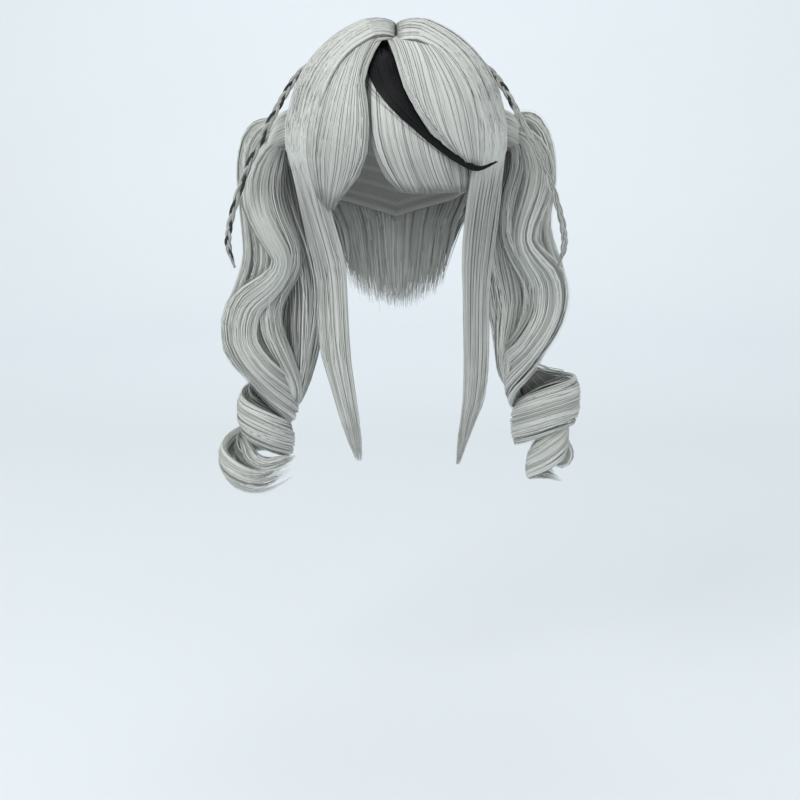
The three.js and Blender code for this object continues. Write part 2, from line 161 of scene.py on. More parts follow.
class RowCurve:
    """Centripetal curve through a list of points, as the solids' locks follow."""

    def __init__(self, points: Array) -> None:
        """Keeps the points with one more beyond each end."""
        first = 2 * points[0] - points[1]
        final = 2 * points[-1] - points[-2]
        self.points = np.vstack([first, points, final])
        self.last = len(points) - 1

    def at(self, share: Array) -> Array:
        """Points at shares of the rows.

        Args:
            share: Places from 0 to 1, of any shape.

        Returns:
            Points with one more axis of three.
        """
        place = np.clip(share, 0.0, 1.0) * self.last
        low = np.minimum(place.astype(int), self.last - 1)
        part = (place - low)[..., None]
        p0, p1, p2, p3 = (self.points[low + step] for step in range(4))
        d0, d1, d2 = (
            np.sqrt(np.linalg.norm(b - a, axis=-1, keepdims=True))
            for a, b in ((p0, p1), (p1, p2), (p2, p3))
        )
        out = d1 * ((p1 - p0) / d0 - (p2 - p0) / (d0 + d1) + (p2 - p1) / d1)
        into = d1 * ((p2 - p1) / d1 - (p3 - p1) / (d1 + d2) + (p3 - p2) / d2)
        square = 3 * (p2 - p1) - 2 * out - into
        cube = 2 * (p1 - p2) + out + into
        return p1 + part * (out + part * (square + part * cube))

    def tangent(self, share: Array) -> Array:
        """Directions along the curve at shares of the rows."""
        step = 1e-4
        return unit(self.at(np.minimum(share + step, 1)) - self.at(np.maximum(share - step, 0)))

    def length(self) -> float:
        """Length of the curve in the units of its points."""
        line = self.at(np.linspace(0.0, 1.0, 400))
        return float(np.linalg.norm(np.diff(line, axis=0), axis=1).sum())


def softened(line: Array, reach: int) -> Array:
    """Line with its sharp turns rounded off and its ends left in place.

    Args:
        line: Even points along the line, (points, 3).
        reach: Number of points that the rounding spreads over.

    Returns:
        As many points.
    """
    away = np.arange(-2 * reach, 2 * reach + 1)
    weight = np.exp(-0.5 * (away / reach) ** 2)
    weight = weight / weight.sum()
    head = 2 * line[0] - line[1 : 2 * reach + 1][::-1]
    tail = 2 * line[-1] - line[-2 * reach - 1 : -1][::-1]
    padded = np.vstack([head, line, tail])
    return np.stack([np.convolve(padded[:, axis], weight, "valid") for axis in range(3)], axis=1)


@dataclass
class Strands:
    """Batch of strands that all have the same number of points.

    Attributes:
        points: Middle lines, (strands, points, 3).
        outward: Directions that the strands' flat sides face, (strands, points, 3).
        width: Half width of each strand, (strands, 1) or (strands, points).
        thick: Half thickness of each strand, of the same shape.
        tone: Lightness at each point, (strands, points).
        profile: Scale of the section along a strand, (points,).
        sides: Sides of the section.
    """

    points: Array
    outward: Array
    width: Array
    thick: Array
    tone: Array
    profile: Array
    sides: int = FINE_SIDES


def tip_profile(points: int | Array, root: float, tip: float, end: float = 0.12) -> Array:
    """Scale along a strand that narrows at both ends.

    Args:
        points: Number of even points on the strand, or their shares of its length.
        root: Share of the length over which the root widens.
        tip: Share of the length over which the tip narrows.
        end: Scale at the very ends.

    Returns:
        One scale for each point.
    """
    share = np.linspace(0.0, 1.0, points) if isinstance(points, int) else points
    grown = ease(0.0, max(root, 1e-3), share)
    kept = 1.0 - ease(1.0 - max(tip, 1e-3), 1.0, share)
    return end + (1.0 - end) * grown * kept


def linked(name: str, data: bpy.types.ID) -> bpy.types.Object:
    """New object of some data, linked to the scene."""
    made = bpy.data.objects.new(name, data)
    bpy.context.scene.collection.objects.link(made)
    return made


def from_shape(shape: bmesh.types.BMesh, name: str) -> bpy.types.Object:
    """Turns a finished shape into a smooth object in the scene.

    Args:
        shape: Finished shape, which is freed.
        name: Name of the object and of its mesh.

    Returns:
        The new object.
    """
    mesh = bpy.data.meshes.new(name)
    shape.to_mesh(mesh)
    shape.free()
    mesh.shade_smooth()
    return linked(name, mesh)


class HairMesh:
    """Gathers strands and turns them into one closed mesh with tone and bake map.

    Each strand has an upright cell of its own in the bake map, and the margins are shares of it.
    """

    cell_ratio = 6
    side_margin = 0.12
    foot_margin = 0.03
    cap_width = 0.35
    cap_rise = 0.02
    number_step = 1.37

    def __init__(self) -> None:
        """Starts with no strands."""
        self.batches: list[Strands] = []

    def add(self, strands: Strands) -> None:
        """Adds a batch of strands."""
        self.batches.append(strands)

    def build(self, name: str) -> bpy.types.Object:
        """Makes the object of all gathered strands.

        Args:
            name: Name of the piece.

        Returns:
            The new object, linked to the scene.
        """
        start = 0
        done = 0
        total = sum(batch.points.shape[0] for batch in self.batches)
        columns = max(1, math.ceil(math.sqrt(total * self.cell_ratio)))
        lanes = max(1, math.ceil(total / columns))
        made: list[tuple[Array, ...]] = []
        for batch in self.batches:
            ring = self.rings(batch)
            count, points, sides = ring.shape[:3]
            ridge = np.arange(sides) if sides == FINE_SIDES else np.zeros(sides)
            order = np.arange(count) + done
            cell = np.stack([order % columns, order // columns], axis=1)
            faces, size, places = self.faces(count, points, sides, cell, columns, lanes)
            shades = np.repeat(batch.tone.reshape(-1), sides)
            spots = ring.reshape(-1, 3) * MM
            corner = np.tile(ridge, count * points)
            made.append((spots, shades, self.grain(batch, done), corner, faces + start, size, places))
            start += count * points * sides
            done += count
        joined = [np.concatenate(part) for part in zip(*made)]
        spots, tones, grains, ridges, corners, sizes, maps = joined
        mesh = bpy.data.meshes.new(name)
        self.fill(mesh, spots, corners, sizes)
        self.sharpen(mesh, ridges)
        tone = mesh.attributes.new(TONE, "FLOAT", "POINT")
        tone.data.foreach_set("value", tones.astype(np.float32))
        grain = mesh.attributes.new(GRAIN, "FLOAT_VECTOR", "POINT")
        grain.data.foreach_set("vector", grains.astype(np.float32).ravel())
        layer = mesh.uv_layers.new(name=BAKE_MAP)
        layer.data.foreach_set("uv", maps.astype(np.float32).ravel())
        mesh.polygons.foreach_set("use_smooth", np.ones(len(mesh.polygons), bool))
        mesh.update()
        return linked(name, mesh)

    @staticmethod
    def sharpen(mesh: bpy.types.Mesh, ridges: Array) -> None:
        """Makes the lower edges of fine strands sharp, so that their tops shade as flat hair.

        Args:
            mesh: Mesh of the strands.
            ridges: Number of the section's corner that each vertex sits on, 0 for the ridge.
        """
        ends = np.empty(2 * len(mesh.edges), np.int32)
        mesh.edges.foreach_get("vertices", ends)
        first, second = ridges[ends.reshape(-1, 2)].T
        sharp = mesh.attributes.new("sharp_edge", "BOOLEAN", "EDGE")
        sharp.data.foreach_set("value", (first == second) & (first > 0))

    @staticmethod
    def rings(batch: Strands) -> Array:
        """Corners of every section, of shape (strands, points, sides, 3)."""
        along = unit(np.gradient(batch.points, axis=1))
        across = unit(np.cross(batch.outward, along))
        out = np.cross(along, across)
        first = math.pi / 2 if batch.sides == FINE_SIDES else -math.pi / 2
        turn = first + 2 * math.pi * np.arange(batch.sides) / batch.sides
        wide = (batch.width * batch.profile)[..., None, None]
        high = (batch.thick * batch.profile)[..., None, None]
        flat = across[:, :, None, :] * np.cos(turn)[None, None, :, None]
        rise = out[:, :, None, :] * np.sin(turn)[None, None, :, None]
        return batch.points[:, :, None, :] + wide * flat + high * rise

    @staticmethod
    def grain(batch: Strands, number: int) -> Array:
        """Place of every corner round and along its strand, in millimetres, and a strand number."""
        count, points = batch.points.shape[:2]
        step = np.linalg.norm(np.diff(batch.points, axis=1), axis=2)
        along = np.concatenate([np.zeros((count, 1)), np.cumsum(step, axis=1)], axis=1)
        girth = 2 * math.pi * np.sqrt((batch.width**2 + batch.thick**2) / 2).mean(axis=1)
        around = girth[:, None] * np.arange(batch.sides) / batch.sides
        own = (np.arange(count) + number)[:, None, None] * HairMesh.number_step
        parts = np.broadcast_arrays(around[:, None, :], along[:, :, None], own)
        return np.stack(parts, axis=-1).reshape(-1, 3)

    @staticmethod
    def faces(
        count: int, points: int, sides: int, cell: Array, columns: int, lanes: int
    ) -> tuple[Array, Array, Array]:
        """Corner numbers, face sizes and bake places of one batch.

        Args:
            count: Number of strands.
            points: Points on each strand.
            sides: Sides of the section.
            cell: Column and lane of each strand in the bake map.
            columns: Columns in the bake map.
            lanes: Lanes in the bake map.

        Returns:
            Corner numbers, the size of each face, and one map place for each corner.
        """
        base = np.arange(count)[:, None] * points * sides
        low = base[..., None] + np.arange(points - 1)[None, :, None] * sides
        edge = np.arange(sides)
        far = (edge + 1) % sides
        quads = np.stack([low + edge, low + far, low + sides + far, low + sides + edge], axis=-1)
        roots = base + edge[::-1]
        tips = base + (points - 1) * sides + edge
        order = np.concatenate([quads.ravel(), roots.ravel(), tips.ravel()])
        size = np.concatenate([np.full(quads.size // 4, 4), np.full(2 * count, sides)])
        left = (cell[:, 0] + HairMesh.side_margin) / columns
        right = (cell[:, 0] + 1.0 - HairMesh.side_margin) / columns
        foot = (cell[:, 1] + HairMesh.foot_margin) / lanes
        tall = (1.0 - 2.0 * HairMesh.foot_margin) / lanes
        share = np.arange(points - 1) / (points - 1)
        under = (foot[:, None] + share * tall)[:, :, None]
        over = under + tall / (points - 1)
        walls = [np.broadcast_to(u[:, None, None], low.shape[:2] + (sides,)) for u in (left, right)]
        ring = ((walls[0], under), (walls[1], under), (walls[1], over), (walls[0], over))
        pairs = [np.stack(np.broadcast_arrays(*pair), -1) for pair in ring]
        places = np.stack(pairs, axis=3).reshape(-1, 2)
        turn = 2 * math.pi * edge / sides
        middle = (left + right) / 2
        round_u = middle[:, None] + HairMesh.cap_width * (right - left)[:, None] * np.cos(turn)
        rise = HairMesh.cap_rise * tall
        root_v = foot[:, None] + rise * (1 + np.sin(turn))[None, :]
        tip_v = foot[:, None] + tall - rise * (1 + np.sin(turn))[None, :]
        root_map = np.stack([round_u, root_v], -1).reshape(-1, 2)
        tip_map = np.stack([round_u, tip_v], -1).reshape(-1, 2)
        return order, size, np.vstack([places, root_map, tip_map])

    @staticmethod
    def fill(mesh: bpy.types.Mesh, spots: Array, corners: Array, sizes: Array) -> None:
        """Puts vertices, corners and faces into an empty mesh.

        Args:
            mesh: Mesh to fill.
            spots: Vertex places.
            corners: Vertex number of every face corner.
            sizes: Corners of every face.
        """
        mesh.vertices.add(len(spots))
        mesh.vertices.foreach_set("co", spots.astype(np.float32).ravel())
        mesh.loops.add(len(corners))
        mesh.loops.foreach_set("vertex_index", corners.astype(np.int32))
        mesh.polygons.add(len(sizes))
        starts = np.concatenate([[0], np.cumsum(sizes)[:-1]])
        mesh.polygons.foreach_set("loop_start", starts.astype(np.int32))
        mesh.update(calc_edges=True)


@dataclass(frozen=True)
class HeadForm:
    """Ellipsoid of the head that the hair is combed over, and how far the hair stands off.

    Depth is the share of the hair's thickness: 0 lies on the cap and 1 is the outside.
    """

    half_width: float = 77.0
    half_depth: float = 97.0
    half_height: float = 100.0
    seat: float = 3.4
    hair_side: float = 27.5
    hair_front: float = 15.0
    hair_top: float = 21.0
    parting_front: float = -40.0
    parting_back: float = 42.0
    parting_half: float = 0.4
    fringe_half_angle: float = 60.0
    fringe_hang: float = 95.0
    last_angle: float = 179.5
    angle_power: float = 1.15

    def half_sizes(self, depth: Array) -> tuple[Array, Array, Array]:
        """Half width, half depth and half height of the form at a depth."""
        wide = self.half_width + self.seat + (self.hair_side - self.seat) * depth
        deep = self.half_depth + self.seat + (self.hair_front - self.seat) * depth
        high = self.half_height + self.seat + (self.hair_top - self.seat) * depth
        return wide, deep, high

    def outward(self, points: Array) -> Array:
        """Directions straight out of the hair's outside at points near it."""
        wide, deep, high = self.half_sizes(np.float64(1.0))
        scale = np.array([wide**-2, deep**-2, high**-2])
        return unit((points + np.array([0.0, 0.0, self.half_height])) * scale)

    def stroke_angle(self, across: Array) -> Array:
        """Angle from the front, in degrees, of the stroke at a share from temple to back."""
        share = np.clip(across, 0.0, 1.0) ** self.angle_power
        return self.fringe_half_angle + (self.last_angle - self.fringe_half_angle) * share

    def stroke_across(self, angle: Array) -> Array:
        """Share from temple to back of the stroke at an angle from the front."""
        share = (angle - self.fringe_half_angle) / (self.last_angle - self.fringe_half_angle)
        return share ** (1 / self.angle_power)

    def stroke_start(self, across: Array) -> Array:
        """Place on the parting where the stroke at a share from temple to back starts."""
        return self.parting_front + (self.parting_back - self.parting_front) * across

    def comb(
        self, side: Side, start: Array, angle: Array, depth: Array, along: Array, hem: Array
    ) -> Array:
        """Points of comb strokes from the parting down to a level.

        Args:
            side: Side of the parting.
            start: Y of the stroke's start on the parting.
            angle: Angle of the stroke's upright plane from the front, in degrees.
            depth: Depth in the hair at each point.
            along: Share of the way from the parting to the level.
            hem: Level where the stroke ends, below the crown.

        Returns:
            Points with one more axis of three.
        """
        wide, deep, high = self.half_sizes(depth)
        step_x = side.value * np.sin(np.radians(angle))
        step_y = -np.cos(np.radians(angle))
        start_x = side.value * self.parting_half
        square = (step_x / wide) ** 2 + (step_y / deep) ** 2
        slope = start_x * step_x / wide**2 + start * step_y / deep**2
        offset = (start_x / wide) ** 2 + (start / deep) ** 2
        rest = np.maximum(1 - offset + slope**2 / square, 1e-6)
        reach = np.sqrt(rest / square)
        height = high * np.sqrt(rest)
        first = np.arcsin(np.clip(slope / square / reach, -1, 1))
        last = np.arccos(np.clip((self.half_height - hem) / height, -1, 1))
        turn = first + (last - first) * along
        run = reach * np.sin(turn) - slope / square
        level = height * np.cos(turn) - self.half_height
        return np.stack(np.broadcast_arrays(start_x + run * step_x, start + run * step_y, level), -1)

    def on_front(self, across: Array, down: Array, rest: float | Array, depth: Array) -> Array:
        """Points over the forehead, seen from the front.

        Args:
            across: Offset from the middle.
            down: Level below the crown.
            rest: Depth at which the offset and level are measured.
            depth: Depth of the point itself.

        Returns:
            Points with one more axis of three.
        """
        level = np.minimum(down, self.fringe_hang)
        wide, deep, high = self.half_sizes(np.asarray(rest, float))
        height = self.half_height - level
        left = 1 - (across / wide) ** 2 - (height / high) ** 2
        fore = -deep * np.sqrt(np.maximum(left, 0.002))
        ray = np.stack(np.broadcast_arrays(across, fore, height), -1)
        a, b, c = self.half_sizes(np.asarray(depth, float))
        scale = np.sqrt((ray[..., 0] / a) ** 2 + (ray[..., 1] / b) ** 2 + (ray[..., 2] / c) ** 2)
        ray = ray / scale[..., None]
        ray[..., 2] += -self.half_height - (down - level)
        return ray


HEAD = HeadForm()


@dataclass(frozen=True)
class Layer:
    """One layer of strands laid over a body of hair.

    Attributes:
        count: Number of strands.
        points: Points on each strand.
        width: Half width of a strand.
        thick: Half thickness of a strand.
        low: Depth of the deepest strands.
        high: Depth of the highest strands.
        tone: Lightness of the strands.
        spread: Random share of that lightness.
        sides: Sides of the section.
    """

    count: int
    points: int
    width: float
    thick: float
    low: float
    high: float
    tone: float
    spread: float
    sides: int = FINE_SIDES

    @property
    def is_fine(self) -> bool:
        """Whether the layer has fine strands and not the ribbons below them."""
        return self.sides == FINE_SIDES

    def even(self) -> Array:
        """Even shares from root to tip, (1, points)."""
        return np.linspace(0.0, 1.0, self.points)[None, :]

    def draw(self, rng: Rng) -> Array:
        """One random share for each strand, (strands, 1)."""
        return rng.random((self.count, 1))

    def levels(self, rng: Rng, power: float = 1.0) -> Array:
        """Random depth of each strand, higher with a lower power, (strands, 1)."""
        return self.low + (self.high - self.low) * self.draw(rng) ** power

    def wander(self, rng: Rng, knots: int) -> Array:
        """Slow random drift along each strand through a number of knots, (strands, points)."""
        return drift(rng, self.count, self.points, knots)


@dataclass
class LockPlan:
    """Random division of a width into locks of uneven size."""

    edges: Array
    offsets: Array

    @classmethod
    def draw(cls, rng: Rng, locks: int) -> "LockPlan":
        """Draws a plan.

        Args:
            rng: Source of random numbers.
            locks: Number of locks.

        Returns:
            The plan.
        """
        widths = rng.uniform(0.55, 1.45, locks)
        edges = np.concatenate([[0.0], np.cumsum(widths) / widths.sum()])
        return cls(edges, rng.uniform(-1.0, 1.0, locks))

    def scatter(
        self, rng: Rng, count: int, stretch: float = 1.0
    ) -> tuple[Array, Array, Array, Array]:
        """Scatters strands over the locks.

        Args:
            rng: Source of random numbers.
            count: Number of strands.
            stretch: Share of the whole width that they are scattered over.

        Returns:
            Number of each strand's lock, the middle and half width of that lock, and the
            strand's offset from the middle in half widths.
        """
        across = stretch * (np.arange(count) + rng.random(count)) / count
        lock = np.clip(np.searchsorted(self.edges, across, side="right") - 1, 0, len(self.edges) - 2)
        middle = (self.edges[lock] + self.edges[lock + 1]) / 2
        half = (self.edges[lock + 1] - self.edges[lock]) / 2
        return lock, middle, half, (across - middle) / half


@dataclass
class HairPiece:
    """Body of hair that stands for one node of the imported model."""

    node: str
    slot: Slot
    material: bpy.types.Material
    rng: Rng
    size_spread: Pair = (0.7, 1.3)
    tone_drift: float = 0.05
    tone_knots: int = 5
    hair: HairMesh = field(default_factory=HairMesh)

    def comb_in(
        self, layer: Layer, points: Array, outward: Array, shade: Array, profile: Array
    ) -> None:
        """Adds the strands of a layer, each with its own random size and lightness.

        Args:
            layer: Layer that the strands belong to.
            points: Middle lines, (strands, points, 3).
            outward: Directions that the strands' flat sides face, of the same shape.
            shade: Factor of the lightness at each point.
            profile: Scale of the section along a strand.
        """
        scale = self.rng.uniform(*self.size_spread, (layer.count, 1))
        own = layer.tone * (1.0 + layer.spread * self.rng.uniform(-1.0, 1.0, (layer.count, 1)))
        slow = 1.0 + self.tone_drift * layer.wander(self.rng, self.tone_knots)
        width = layer.width * scale
        thick = layer.thick * scale
        tone = own * slow * shade
        self.hair.add(Strands(points, outward, width, thick, tone, profile, layer.sides))

    def finish(self) -> None:
        """Makes the piece, dresses it and ties it to the frame."""
        dress(self.hair.build(f"{self.node}_strands"), self.material, self.node)


def dress(piece: bpy.types.Object, material: bpy.types.Material, node: str) -> None:
    """Gives a piece its material, ties it to the frame and reports it.

    Args:
        piece: Piece to dress.
        material: Material of the piece.
        node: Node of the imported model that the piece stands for.
    """
    piece.data.materials.append(material)
    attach(piece, BODY)
    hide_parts(node)
    LOG.info("%s: %d faces", piece.name, len(piece.data.polygons))


@dataclass(frozen=True)
class HemRow:
    """Level of a hem at an angle from the front."""

    angle: float
    down: float


CROWN_HEM = (HemRow(60, 104), HemRow(95, 108), HemRow(125, 138), HemRow(180, 158))
FRONT_REACH = {Side.RIGHT: 11.0, Side.LEFT: 17.0}


def hem_level(angle: float | Array, rows: tuple[HemRow, ...] = CROWN_HEM) -> Array:
    """Level of a hem, the crown's unless rows are given, at angles from the front."""
    return np.interp(angle, [row.angle for row in rows], [row.down for row in rows])


@dataclass
class CrownHair:
    """Half of the crown's hair, combed from the parting down to the hem.

    Its strands end raggedly at the hem, early at the temple and late behind the ear.
    """

    side: Side
    front_reach: float
    locks: int = 26
    crowding: float = 1.5
    pinch: float = 0.12
    sway: float = 0.0035
    level_power: float = 0.6
    relief: float = 0.055
    lock_rise: float = 0.02
    dip: float = 0.5
    dip_share: float = 0.18
    dip_power: float = 0.6
    hem_sink: float = 0.06
    temple_sink: float = 0.24
    front_ragged: float = 3.0
    back_ragged: float = 6.0
    longer: float = 5.0
    temple_shorter: float = 48.0
    ear_longer: float = 12.0
    front_share: float = 0.14
    front_width: float = 52.0
    edge_shade: float = 0.16
    # Lightening of the painted shadow lines towards the back.
    groove_lift: float = 0.5
    front_shade: float = 0.3
    parting_shade: float = 0.28
    # The under layer's lower tone is painted shade beneath the fine strands.
    under: Layer = Layer(64, 12, 6.5, 0.5, 0.85, 0.88, 0.8, 0.04, 6)
    fine: Layer = Layer(1200, 13, 0.5, 0.14, 0.965, 1.0, 0.95, 0.07)
    front: Layer = Layer(140, 13, 0.52, 0.14, 0.965, 1.0, 0.95, 0.07)
    # Dark strands along the locks' edges: painted shadow lines in the grooves between the locks.
    groove: Layer = Layer(44, 13, 0.3, 0.12, 1.0, 1.03, 0.4, 0.5)

    def grow(self, piece: HairPiece) -> None:
        """Lays the layers of the crown's hair into a piece."""
        plan = LockPlan.draw(piece.rng, self.locks)
        for layer in (self.under, self.fine, self.groove):
            self.lay(plan, layer, piece, 1.0)
        self.lay(plan, self.front, piece, self.front_share)

    def lay(self, plan: LockPlan, layer: Layer, piece: HairPiece, stretch: float) -> None:
        """Lays one layer.

        Args:
            plan: Division of the crown into locks.
            layer: Layer to lay.
            piece: Piece that takes the strands.
            stretch: Share of the crown, from the front, that the layer covers.
        """
        rng = piece.rng
        lock, middle, half, place = plan.scatter(rng, layer.count, stretch)
        # The painted shadow lines lie on the locks' edges.
        if layer is self.groove:
            place = np.sign(place)
        share = layer.even() ** self.crowding
        pinch = 1.0 - self.pinch * ease(0.3, 1.0, share)
        sway = self.sway * layer.wander(rng, 4) * ease(0.1, 0.6, share)
        across = np.clip(middle[:, None] + (half * place)[:, None] * pinch + sway, 0.0, 1.0)
        angle = HEAD.stroke_angle(across)
        level = layer.levels(rng, self.level_power)
        # Real grooves: the strands sink at the locks' edges.
        groove = self.relief * place**2 - self.lock_rise * plan.offsets[lock]
        depth = level - groove[:, None] * ease(0.05, 0.3, share)
        dipped = np.clip(share / self.dip_share, 0.0, 1.0) ** self.dip_power
        depth = depth * (self.dip + (1.0 - self.dip) * dipped)
        sink = self.hem_sink * ease(0.76, 1.0, share)
        sink = sink + self.temple_sink * self.at_temple(across) * ease(0.55, 1.0, share)
        depth = depth * (1.0 - sink)
        past = self.past_hem(rng, layer, across[:, -1:])
        hem = hem_level(angle[:, -1:]) + past * float(layer.is_fine)
        points = HEAD.comb(self.side, HEAD.stroke_start(across), angle, depth, share, hem)
        self.bring_forward(points, across, depth)
        # Painted shade: darker at the locks' edges, along the crown's front edge and at the parting;
        # the painted shadow lines are lighter towards the back.
        shade = 1.0 - self.edge_shade * np.abs(place[:, None]) ** 3 * np.ones_like(share)
        if layer is self.groove:
            shade = shade * (1.0 + self.groove_lift * ease(0.35, 0.6, across))
        shade = shade * (1.0 - self.front_shade + self.front_shade * ease(0.0, 0.012, across))
        shade = shade * (1.0 - self.parting_shade + self.parting_shade * ease(0.0, 0.05, share))
        profile = tip_profile(layer.points, 0.25, 0.18, 0.22)
        piece.comb_in(layer, points, HEAD.outward(points), shade, profile)

    @staticmethod
    def at_temple(across: Array) -> Array:
        """How far a share from temple to back belongs to the temple, from 0 to 1."""
        return 1.0 - ease(0.3, 0.5, across)

    def past_hem(self, rng: Rng, layer: Layer, across: Array) -> Array:
        """Random lengths by which strands run past the hem.

        Args:
            rng: Source of random numbers.
            layer: Layer that the strands belong to.
            across: Share from temple to back at each strand's end.

        Returns:
            Lengths of shape (strands, 1), below 0 where a strand ends early.
        """
        rough = self.front_ragged + self.back_ragged * ease(0.45, 0.7, across)
        past = rough * rng.normal(0.0, 1.0, (layer.count, 1)) + self.longer
        past = past - self.temple_shorter * self.at_temple(across) * layer.draw(rng)
        behind = ease(0.38, 0.46, across) * (1.0 - ease(0.62, 0.72, across))
        return past + self.ear_longer * behind * layer.draw(rng)

    def bring_forward(self, points: Array, across: Array, depth: Array) -> None:
        """Moves the roots of the front strands on along the parting, over the fringe's roots.

        Args:
            points: Points of the strands, which are moved.
            across: Share from temple to back at each point.
            depth: Depth in the hair at each point.
        """
        near = 1.0 - ease(0.0, self.front_share, across)
        near = near * (1.0 - ease(0.0, self.front_width, np.abs(points[..., 0])))
        wide, deep, high = HEAD.half_sizes(depth)
        moved = points[..., 1] - self.front_reach * near
        left = 1.0 - (points[..., 0] / wide) ** 2 - (moved / deep) ** 2
        level = high * np.sqrt(np.maximum(left, 0.0)) - HEAD.half_height
        points[..., 2] = np.where(near > 1e-4, level, points[..., 2])
        points[..., 1] = moved


@dataclass
class NapeHair:
    """Loose hair that carries the back of the crown on down over the nape.

    The upper strands start over the crown's hem, and all others start below it.
    """

    spread: float = 0.42
    leave: float = 168.0
    lean: float = 0.2
    down: float = 250.0
    rise: float = 24.0
    ragged: float = 4.0
    shorter: float = 5.0
    under_shorter: float = 14.0
    inner: float = 0.06
    outer: float = 0.72
    taper: float = 0.75
    upper_from: float = 0.45
    upper_start: float = 20.0
    upper_spread: float = 50.0
    lower_start: float = 24.0
    upper_level: float = 0.99
    upper_relief: float = 0.02
    sway: float = 1.2
    # The under layer's lower tone is painted shade beneath the fine strands.
    under: Layer = Layer(40, 9, 5.5, 1.0, 0.1, 0.6, 0.76, 0.06, 6)
    fine: Layer = Layer(360, 10, 0.6, 0.2, 0.0, 1.0, 0.93, 0.08)

    def grow(self, piece: HairPiece) -> None:
        """Lays the layers of the nape's hair into a piece."""
        for layer in (self.under, self.fine):
            for side in Side:
                self.lay(side, layer, piece)

    def lay(self, side: Side, layer: Layer, piece: HairPiece) -> None:
        """Lays one layer on one side of the middle.

        Args:
            side: Side of the middle.
            layer: Layer to lay.
            piece: Piece that takes the strands.
        """
        rng = piece.rng
        away = ((np.arange(layer.count) + rng.random(layer.count)) / layer.count)[:, None]
        share = layer.even()
        behind = 1.0 - self.spread * away
        angle = HEAD.stroke_angle(behind)
        depth = layer.levels(rng)
        outer = self.outer * (1.0 - self.taper * share)
        level = self.inner + (outer - self.inner) * depth
        hem = hem_level(angle)
        above = (depth > self.upper_from) & layer.is_fine
        upper = hem - self.upper_start - self.upper_spread * layer.draw(rng)
        top = np.where(above, upper, hem - self.lower_start)
        ragged = rng.normal(0.0, self.ragged, (layer.count, 1))
        end = self.down - self.rise * away**3 + ragged - self.shorter
        end = end - (0.0 if layer.is_fine else self.under_shorter)
        fall = top + (end - top) * share
        hung = np.minimum(fall, self.leave)
        over = 1.0 - ease(-6.0, 64.0, fall - hem)
        laid = self.upper_level + self.upper_relief * depth
        level = level + np.where(above, over * (laid - level), 0.0)
        points = HEAD.comb(side, HEAD.stroke_start(behind), angle, level, np.ones_like(fall), hung)
        below = np.maximum(0.0, fall - self.leave)
        turn = np.radians(angle)
        points[..., 0] -= self.lean * below * side.value * np.sin(turn)
        points[..., 1] += self.lean * below * np.cos(turn)
        points[..., 2] -= below
        points[..., 0] += self.sway * layer.wander(rng, 4) * ease(0.2, 1.0, share)
        outward = HEAD.outward(points)
        outward[..., 2] = 0.0
        profile = tip_profile(layer.points, 0.1, 0.4)
        piece.comb_in(layer, points, unit(outward), np.ones_like(fall), profile)


Guide = tuple[Pair, ...]


@dataclass
class FringeHair:
    """Layer of the fringe that flows along guide lines, seen from the front.

    Each guide is a row of offsets and levels from the root to the cut end.
    """

    guides: tuple[Guide, ...]
    rest: float
    locks: int
    under: Layer
    fine: Layer
    root_depth: float
    relief: float
    ragged: float
    tip_shade: float
    edge_shade: float = 0.12
    crowding: float = 1.25
    gather: float = 0.94
    sway: float = 0.35
    level_power: float = 0.6
    root_share: float = 0.14
    # Dark strands laid over the top: painted shadow lines among the strands.
    groove: Layer = Layer(16, 0, 0.3, 0.12, 0.0, 0.02, 0.4, 0.5)

    def grow(self, piece: HairPiece) -> None:
        """Lays the layers of this part of the fringe into a piece."""
        plan = LockPlan.draw(piece.rng, self.locks)
        top = self.fine.high
        groove = replace(
            self.groove, points=self.fine.points, low=top, high=top + self.groove.high
        )
        for layer in (self.under, self.fine, groove):
            self.lay(plan, layer, piece)

    def lay(self, plan: LockPlan, layer: Layer, piece: HairPiece) -> None:
        """Lays one layer.

        Args:
            plan: Division of the fringe into locks.
            layer: Layer to lay.
            piece: Piece that takes the strands.
        """
        rng = piece.rng
        _, middle, half, place = plan.scatter(rng, layer.count)
        share = np.broadcast_to(layer.even() ** self.crowding, (layer.count, layer.points))
        across = np.clip(middle + half * place * self.gather, 0.0, 1.0)
        control = self.between_guides(across)
        end = 1.0 + self.ragged * rng.normal(0.0, 1.0, (layer.count, 1)) - self.ragged
        path = through(control, share * np.minimum(end, 1.0))
        sway = self.sway * layer.wander(rng, 5) * ease(0.1, 0.5, share)
        level = layer.levels(rng, self.level_power)
        depth = level - self.relief * (place**2)[:, None] * ease(0.1, 0.4, share)
        depth = self.root_depth + (depth - self.root_depth) * ease(0.0, self.root_share, share)
        points = HEAD.on_front(path[..., 0] + sway, path[..., 1], self.rest, depth)
        # Painted shade at the locks' edges and towards the cut ends.
        shade = 1.0 - self.edge_shade * np.abs(place[:, None]) ** 3
        shade = shade - self.tip_shade * ease(0.3, 1.0, share)
        profile = tip_profile(layer.points, 0.2, 0.12, 0.2)
        piece.comb_in(layer, points, HEAD.outward(points), shade, profile)

    def between_guides(self, across: Array) -> Array:
        """Control rows for strands at shares of the way over the guides.

        Args:
            across: Shares from the first guide to the last.

        Returns:
            Offset, level and 0 for every control, (strands, controls, 3).
        """
        rows = np.array(self.guides, float)
        place = across * (len(rows) - 1)
        low = np.minimum(place.astype(int), len(rows) - 2)
        part = (place - low)[:, None, None]
        mixed = rows[low] * (1 - part) + rows[low + 1] * part
        return np.concatenate([mixed, np.zeros_like(mixed[..., :1])], axis=-1)
